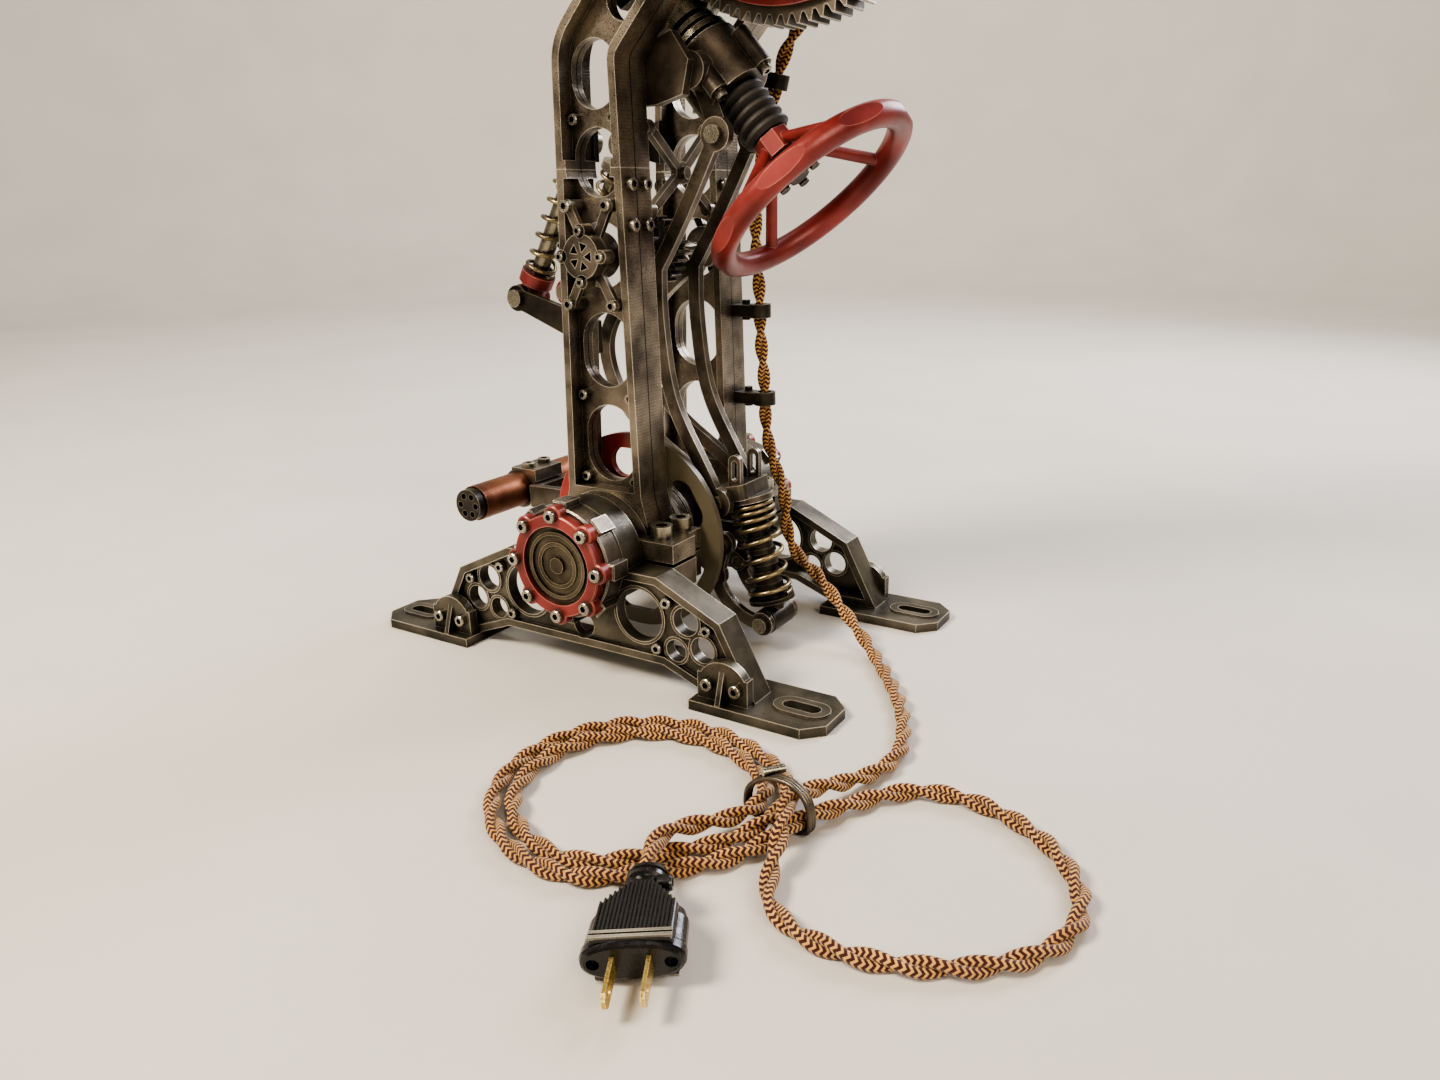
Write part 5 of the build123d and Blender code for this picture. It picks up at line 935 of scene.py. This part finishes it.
# %% Ribs on both flats of the wedge, lips and side knob
RIB_PITCH = 1.45
RIB_MARGIN = 0.9
RIB_SIDE = 7.85
RIB_END = 37.0
LIP_SIDE = 8.4
LIPS_AT = (37.9, 40.1)
LIP_LENGTH = 1.3
LIP_SIZE = dict(bar_width=29.0 * MM, bar_height=1.1 * MM)
KNOB_AT = (4.6, 2.6, 6.9)
KNOB_RADIUS = 3.1
KNOB_HEIGHT = 5.4
narrow_at, narrow = WEDGE_STATIONS[2][:2]
wide_at, wide = WEDGE_STATIONS[3][:2]
rib_rows = []
for i in range(-9, 10):
    x = RIB_PITCH * i
    past_side = max(0.0, abs(x) + RIB_MARGIN - narrow)
    start = narrow_at + past_side * (wide_at - narrow_at) / (wide - narrow)
    for y in (-RIB_SIDE, RIB_SIDE):
        rib_rows.append((x, y, (start + RIB_END) / 2, RIB_END - start))
ribs = bars_on_plug("plug_ribs", rib_rows, material=PLUG_RIB)
lip_rows = [(0.0, y, t, LIP_LENGTH) for t in LIPS_AT for y in (-LIP_SIDE, LIP_SIDE)]
lips = bars_on_plug("plug_lips", lip_rows, material=PLUG_LIP, **LIP_SIZE)
knob = (PLUG_PLACE @ (Vector(KNOB_AT) * MM), PLUG_X, KNOB_RADIUS * MM, KNOB_HEIGHT * MM)
side_knob = make_screws("plug_side_knob", [knob], PLUG_PLASTIC)
plug_pieces = [plug, wedge, ribs, lips, side_knob]
for piece in plug_pieces:
    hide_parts("plug_body")
print("ribs", len(rib_rows), "faces", [len(piece.data.polygons) for piece in plug_pieces])

# %% [markdown]
# ### Blades
# The two brass blades are flat strips with clipped tips and a round hole near the end. Each is a
# flat outline filled with its hole and then given its thickness.

# %% Brass blades with holes
BLADE_PITCH = 12.7
BLADE_THICK = 1.5
BLADE_OUTLINE = [(-3.2, 43.0), (3.2, 43.0), (3.2, 59.4), (1.4, 61.6), (-1.4, 61.6), (-3.2, 59.4)]
HOLE_AT = 55.1
HOLE_RADIUS = 1.6
HOLE_TURNS = [math.tau * i / 20 for i in range(20)]
HOLE = [(HOLE_RADIUS * math.cos(a), HOLE_AT + HOLE_RADIUS * math.sin(a)) for a in HOLE_TURNS]


def blade(side):
    work = bmesh.new()
    left_face = side * BLADE_PITCH / 2 - BLADE_THICK / 2
    for loop in (BLADE_OUTLINE, HOLE):
        ring = [work.verts.new((left_face, y, t)) for y, t in loop]
        for a, b in zip(ring, ring[1:] + ring[:1]):
            work.edges.new((a, b))
    bmesh.ops.triangle_fill(work, edges=work.edges, use_beauty=True)
    sheet = bmesh.ops.extrude_face_region(work, geom=list(work.faces))["geom"]
    moved = [v for v in sheet if isinstance(v, bmesh.types.BMVert)]
    bmesh.ops.translate(work, vec=(BLADE_THICK, 0, 0), verts=moved)
    bmesh.ops.recalc_face_normals(work, faces=work.faces)
    for v in work.verts:
        v.co = PLUG_AT + (PLUG_X * v.co.x + PLUG_Y * v.co.y + PLUG_Z * v.co.z) * MM
    return mesh_from(work, "brass_blade")


for name, side in (("left_blade", -1), ("right_blade", 1)):
    made = link_object(name, blade(side))
    made.data.materials.append(BRASS)
    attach(made, "stand")
    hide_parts("plug_blades")

# %% [markdown]
# ## The tie
# The bundle is held by a ribbed band: three thin bars side by side, bent round the strands. A
# short peg on top closes it. Each bar is a closed curve with a round bevel.

# %% Ribbed band and peg of the tie
TIE_CENTRE = Vector((170.4, -166.0, 0.0))
TIE_ALONG = Vector((-0.12, -0.993, 0.0)).normalized()
TIE_ACROSS = Vector((-TIE_ALONG.y, TIE_ALONG.x, 0.0))
UP = Vector((0, 0, 1))
BAR_RADIUS = 1.15
BAR_PITCH = 1.5
PEG_RADIUS = 1.9
PEG_AT = TIE_CENTRE - TIE_ACROSS * 4.5 - TIE_ALONG * 2.5 + UP * 23.6
PEG_AXIS = (TIE_ACROSS * 0.55 - TIE_ALONG * 0.83).normalized()
# Each point of the band: how far across the bundle and how high.
BAND = [(-16.4, 8), (-15.5, 13.5), (-9, 20), (-1, 22.6), (7.5, 22.8), (14, 18.5), (16.4, 12)]
BAND += [(16.4, 4), (13, 1.7), (0, 1.7), (-13, 1.7), (-16.4, 4)]
tie_pieces = []
for i in range(3):
    start = TIE_CENTRE + TIE_ALONG * (BAR_PITCH * (i - 1))
    data, spline = nurbs("band_work", [start + TIE_ACROSS * a + UP * h for a, h in BAND], 8)
    data.bevel_depth = BAR_RADIUS * MM
    data.bevel_resolution = 3
    spline.use_cyclic_u = True
    tie_pieces.append(plain_mesh(link_object("band_work", data), f"tie_bar_{i}"))
peg_place = PEG_AXIS.to_track_quat("Z", "Y").to_matrix().to_4x4()
peg_place.translation = PEG_AT * MM
peg = pin("tie_peg", PEG_RADIUS, peg_place)
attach(peg, "stand")
tie_pieces.append(peg)
for piece in tie_pieces:
    piece.data.materials.clear()
    piece.data.materials.append(NICKEL if piece is peg else CAST_FRAME)
    for face in piece.data.polygons:
        face.use_smooth = piece is not peg
    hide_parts("cord_tie")
print("tie pieces", [piece.name for piece in tie_pieces])

# %% [markdown]
# ## Windowed caps
# A round cap on each column closes the cross shaft. It has five openings between narrow spokes
# and four lobes for its screws. Geometry Nodes set the openings and the lobes on two small
# circles of points, cut the first out of the disc and add the others.


# %% Geometry Nodes: cap with openings and lobes
CAP_SIZES = {
    "Cap radius": CAP_RADIUS * MM,
    "Cap depth": CAP_DEPTH * MM,
    "Lobe circle": LOBE_CIRCLE * MM,
    "Lobe radius": LOBE_RADIUS * MM,
    "Opening circle": 5.2 * MM,
    "Opening radius": 2.9 * MM,
}
OPENINGS = 5
LOBES = 4
OPENING_RAISED = 1.8


def cap_tree():
    tree, given = new_group("windowed_cap", CAP_SIZES)
    index = flow(tree, "GeometryNodeInputIndex")
    share = {1: math.tau / OPENINGS, 2: math.pi}
    turn = flow(tree, "ShaderNodeMath", {0: index}, share, operation="MULTIPLY_ADD")
    turn = flow(tree, "ShaderNodeCombineXYZ", {"Z": turn})
    drums = []
    for size, corners in (("Cap radius", 64), ("Opening radius", 3), ("Lobe radius", 24)):
        drum = {"Radius": given[size], "Depth": given["Cap depth"]}
        drum = add(tree, "GeometryNodeMeshCylinder", drum, {"Vertices": corners})
        drums.append(drum.outputs["Mesh"])
    disc, opening, lobe = drums
    spots = {"Radius": given["Opening circle"]}
    spots = flow(tree, "GeometryNodeMeshCircle", spots, {"Vertices": OPENINGS})
    openings = {"Points": spots, "Instance": opening, "Rotation": turn}
    openings = flow(tree, "GeometryNodeInstanceOnPoints", openings)
    openings = flow(tree, "GeometryNodeRealizeInstances", {"Geometry": openings})
    rise = {"Translation": (0.0, 0.0, OPENING_RAISED * MM)}
    raised = flow(tree, "GeometryNodeTransform", {"Geometry": openings}, rise)
    cut = flow(
        tree,
        "GeometryNodeMeshBoolean",
        {"Mesh 1": disc, "Mesh 2": raised},
        operation="DIFFERENCE",
        solver="EXACT",
    )
    spots = {"Radius": given["Lobe circle"]}
    spots = flow(tree, "GeometryNodeMeshCircle", spots, {"Vertices": LOBES})
    lobes = flow(tree, "GeometryNodeInstanceOnPoints", {"Points": spots, "Instance": lobe})
    both = add(tree, "GeometryNodeJoinGeometry", {0: cut})
    tree.links.new(lobes, both.inputs[0])
    return close_group(tree, both.outputs[0], given["Material"])


# %% A cap on each side
WINDOWED_CAP = cap_tree()
for side, name in ((-1, "near_windowed_cap"), (1, "far_windowed_cap")):
    cap = grow(name, bpy.data.meshes.new(name + "_work"), WINDOWED_CAP, material=CAST_FRAME)
    stand_up = Matrix.Rotation(side * math.radians(-90), 4, "X")
    middle = Vector((0.0, side * (CAP_OUTER_FACE - CAP_DEPTH / 2), CAP_HEIGHT)) * MM
    cap.data.transform(Matrix.Translation(middle) @ stand_up)
    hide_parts("pierced_caps")
    print(name, len(cap.data.polygons), "faces")

# %% [markdown]
# ## Turn the handwheel to the photograph's place
# The wheel spins, so its rest angle is free. Copies of the wheel and its hub plate are turned
# about the shaft until two spokes stand near where the photograph shows them.

# %% Handwheel and hub plate, turned about the shaft
SHAFT_AT = Vector((98.3, 0.0, 254.1)) * MM
SHAFT_AXIS = Vector((-0.6553, 0.0, 0.7554))
WHEEL_TURN = 39.2
spin = Matrix.Rotation(math.radians(WHEEL_TURN), 4, SHAFT_AXIS)
turn_wheel = Matrix.Translation(SHAFT_AT) @ spin @ Matrix.Translation(-SHAFT_AT)
for node_name, slot in (("handwheel", "red_paint"), ("hub_plate", "black_iron")):
    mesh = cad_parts[node_name].data.copy()
    mesh.transform(turn_wheel)
    turned = link_object("turned_" + node_name, mesh)
    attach(turned, "handwheel")
    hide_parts(node_name)
print("wheel turned", WHEEL_TURN, "degrees")

# %% [markdown]
# ## Floor and light
# A plain pale floor that curves up at its rim and four large soft lamps stand in for the studio.
# The key comes from the upper left, as the shadows in the photograph show. A weak front lamp
# opens the dark side, a rim lamp behind picks out edges, and the last one only evens out the
# backdrop.

# %% Floor and the cove around it
FLOOR_RADIUS = 2.4
COVE_RADIUS = 0.8
WALL_HEIGHT = 2.6
BOWL_SIDES = 64
COVE = [(math.sin(a), 1 - math.cos(a)) for a in (0.3, 0.6, 0.9, 1.2, 1.5)]


def studio_bowl():
    work = bmesh.new()
    profile = [(0.02, 0.0), (1.0, 0.0), (FLOOR_RADIUS, 0.0)]
    profile += [(FLOOR_RADIUS + COVE_RADIUS * out, COVE_RADIUS * up) for out, up in COVE]
    profile.append((FLOOR_RADIUS + COVE_RADIUS, WALL_HEIGHT))
    turns = [math.tau * k / BOWL_SIDES for k in range(BOWL_SIDES)]
    rings = []
    for radius, height in profile:
        circle = [(radius * math.cos(turn), radius * math.sin(turn), height) for turn in turns]
        rings.append([work.verts.new(place) for place in circle])
    work.faces.new(rings[0])
    bridge(work, rings[::-1])
    mesh = mesh_from(work, "studio_floor")
    for face in mesh.polygons:
        face.use_smooth = True
    return mesh


floor = link_object("studio_floor", studio_bowl())
paper, tree = new_material("pale_studio_paper")
place = add(tree, "ShaderNodeTexCoord").outputs["Object"]
clouds = flow(tree, "ShaderNodeTexNoise", {"Vector": place}, {"Scale": 6.0, "Detail": 4.0})
tones = {6: colour("BDB9B2"), 7: colour("CBC7C0")}
shade = add(tree, "ShaderNodeMix", {0: clouds}, tones, data_type="RGBA").outputs[2]
matt = flow(tree, "ShaderNodeBsdfPrincipled", {"Base Color": shade}, {"Roughness": 0.85})
add(tree, "ShaderNodeOutputMaterial", {0: matt})
floor.data.materials.append(paper)


# %% Lights and sky
def soft_lamp(name, place, target, size, power, tint):
    data = bpy.data.lights.new(name, "AREA")
    data.shape = "DISK"
    data.size = size
    data.energy = power
    data.color = colour(tint)[:3]
    lamp = link_object(name, data)
    lamp.location = place
    lamp.rotation_euler = (Vector(target) - Vector(place)).to_track_quat("-Z", "Y").to_euler()


soft_lamp("key_lamp", (-0.55, -1.1, 1.35), (0.05, 0.0, 0.2), 0.6, 50, "FFF1DE")
soft_lamp("front_lamp", (1.2, -0.7, 0.9), (0.05, 0.0, 0.25), 0.9, 15, "FFEEDC")
soft_lamp("rim_lamp", (0.5, 1.3, 1.0), (0.0, 0.0, 0.3), 0.8, 22, "F2F4FF")
soft_lamp("backdrop_lamp", (-0.3, 0.9, 2.3), (-1.7, 2.7, 0.6), 1.4, 70, "FFFAF2")
sky = bpy.data.worlds.new("studio_sky")
sky.use_nodes = True
sky.node_tree.nodes["Background"].inputs[0].default_value = colour("DAD6CF")
sky.node_tree.nodes["Background"].inputs[1].default_value = 0.26
bpy.context.scene.world = sky
bpy.context.scene.view_settings.view_transform = "AgX"
bpy.context.scene.view_settings.look = "AgX - Medium High Contrast"
print("lamps", len(bpy.data.lights))
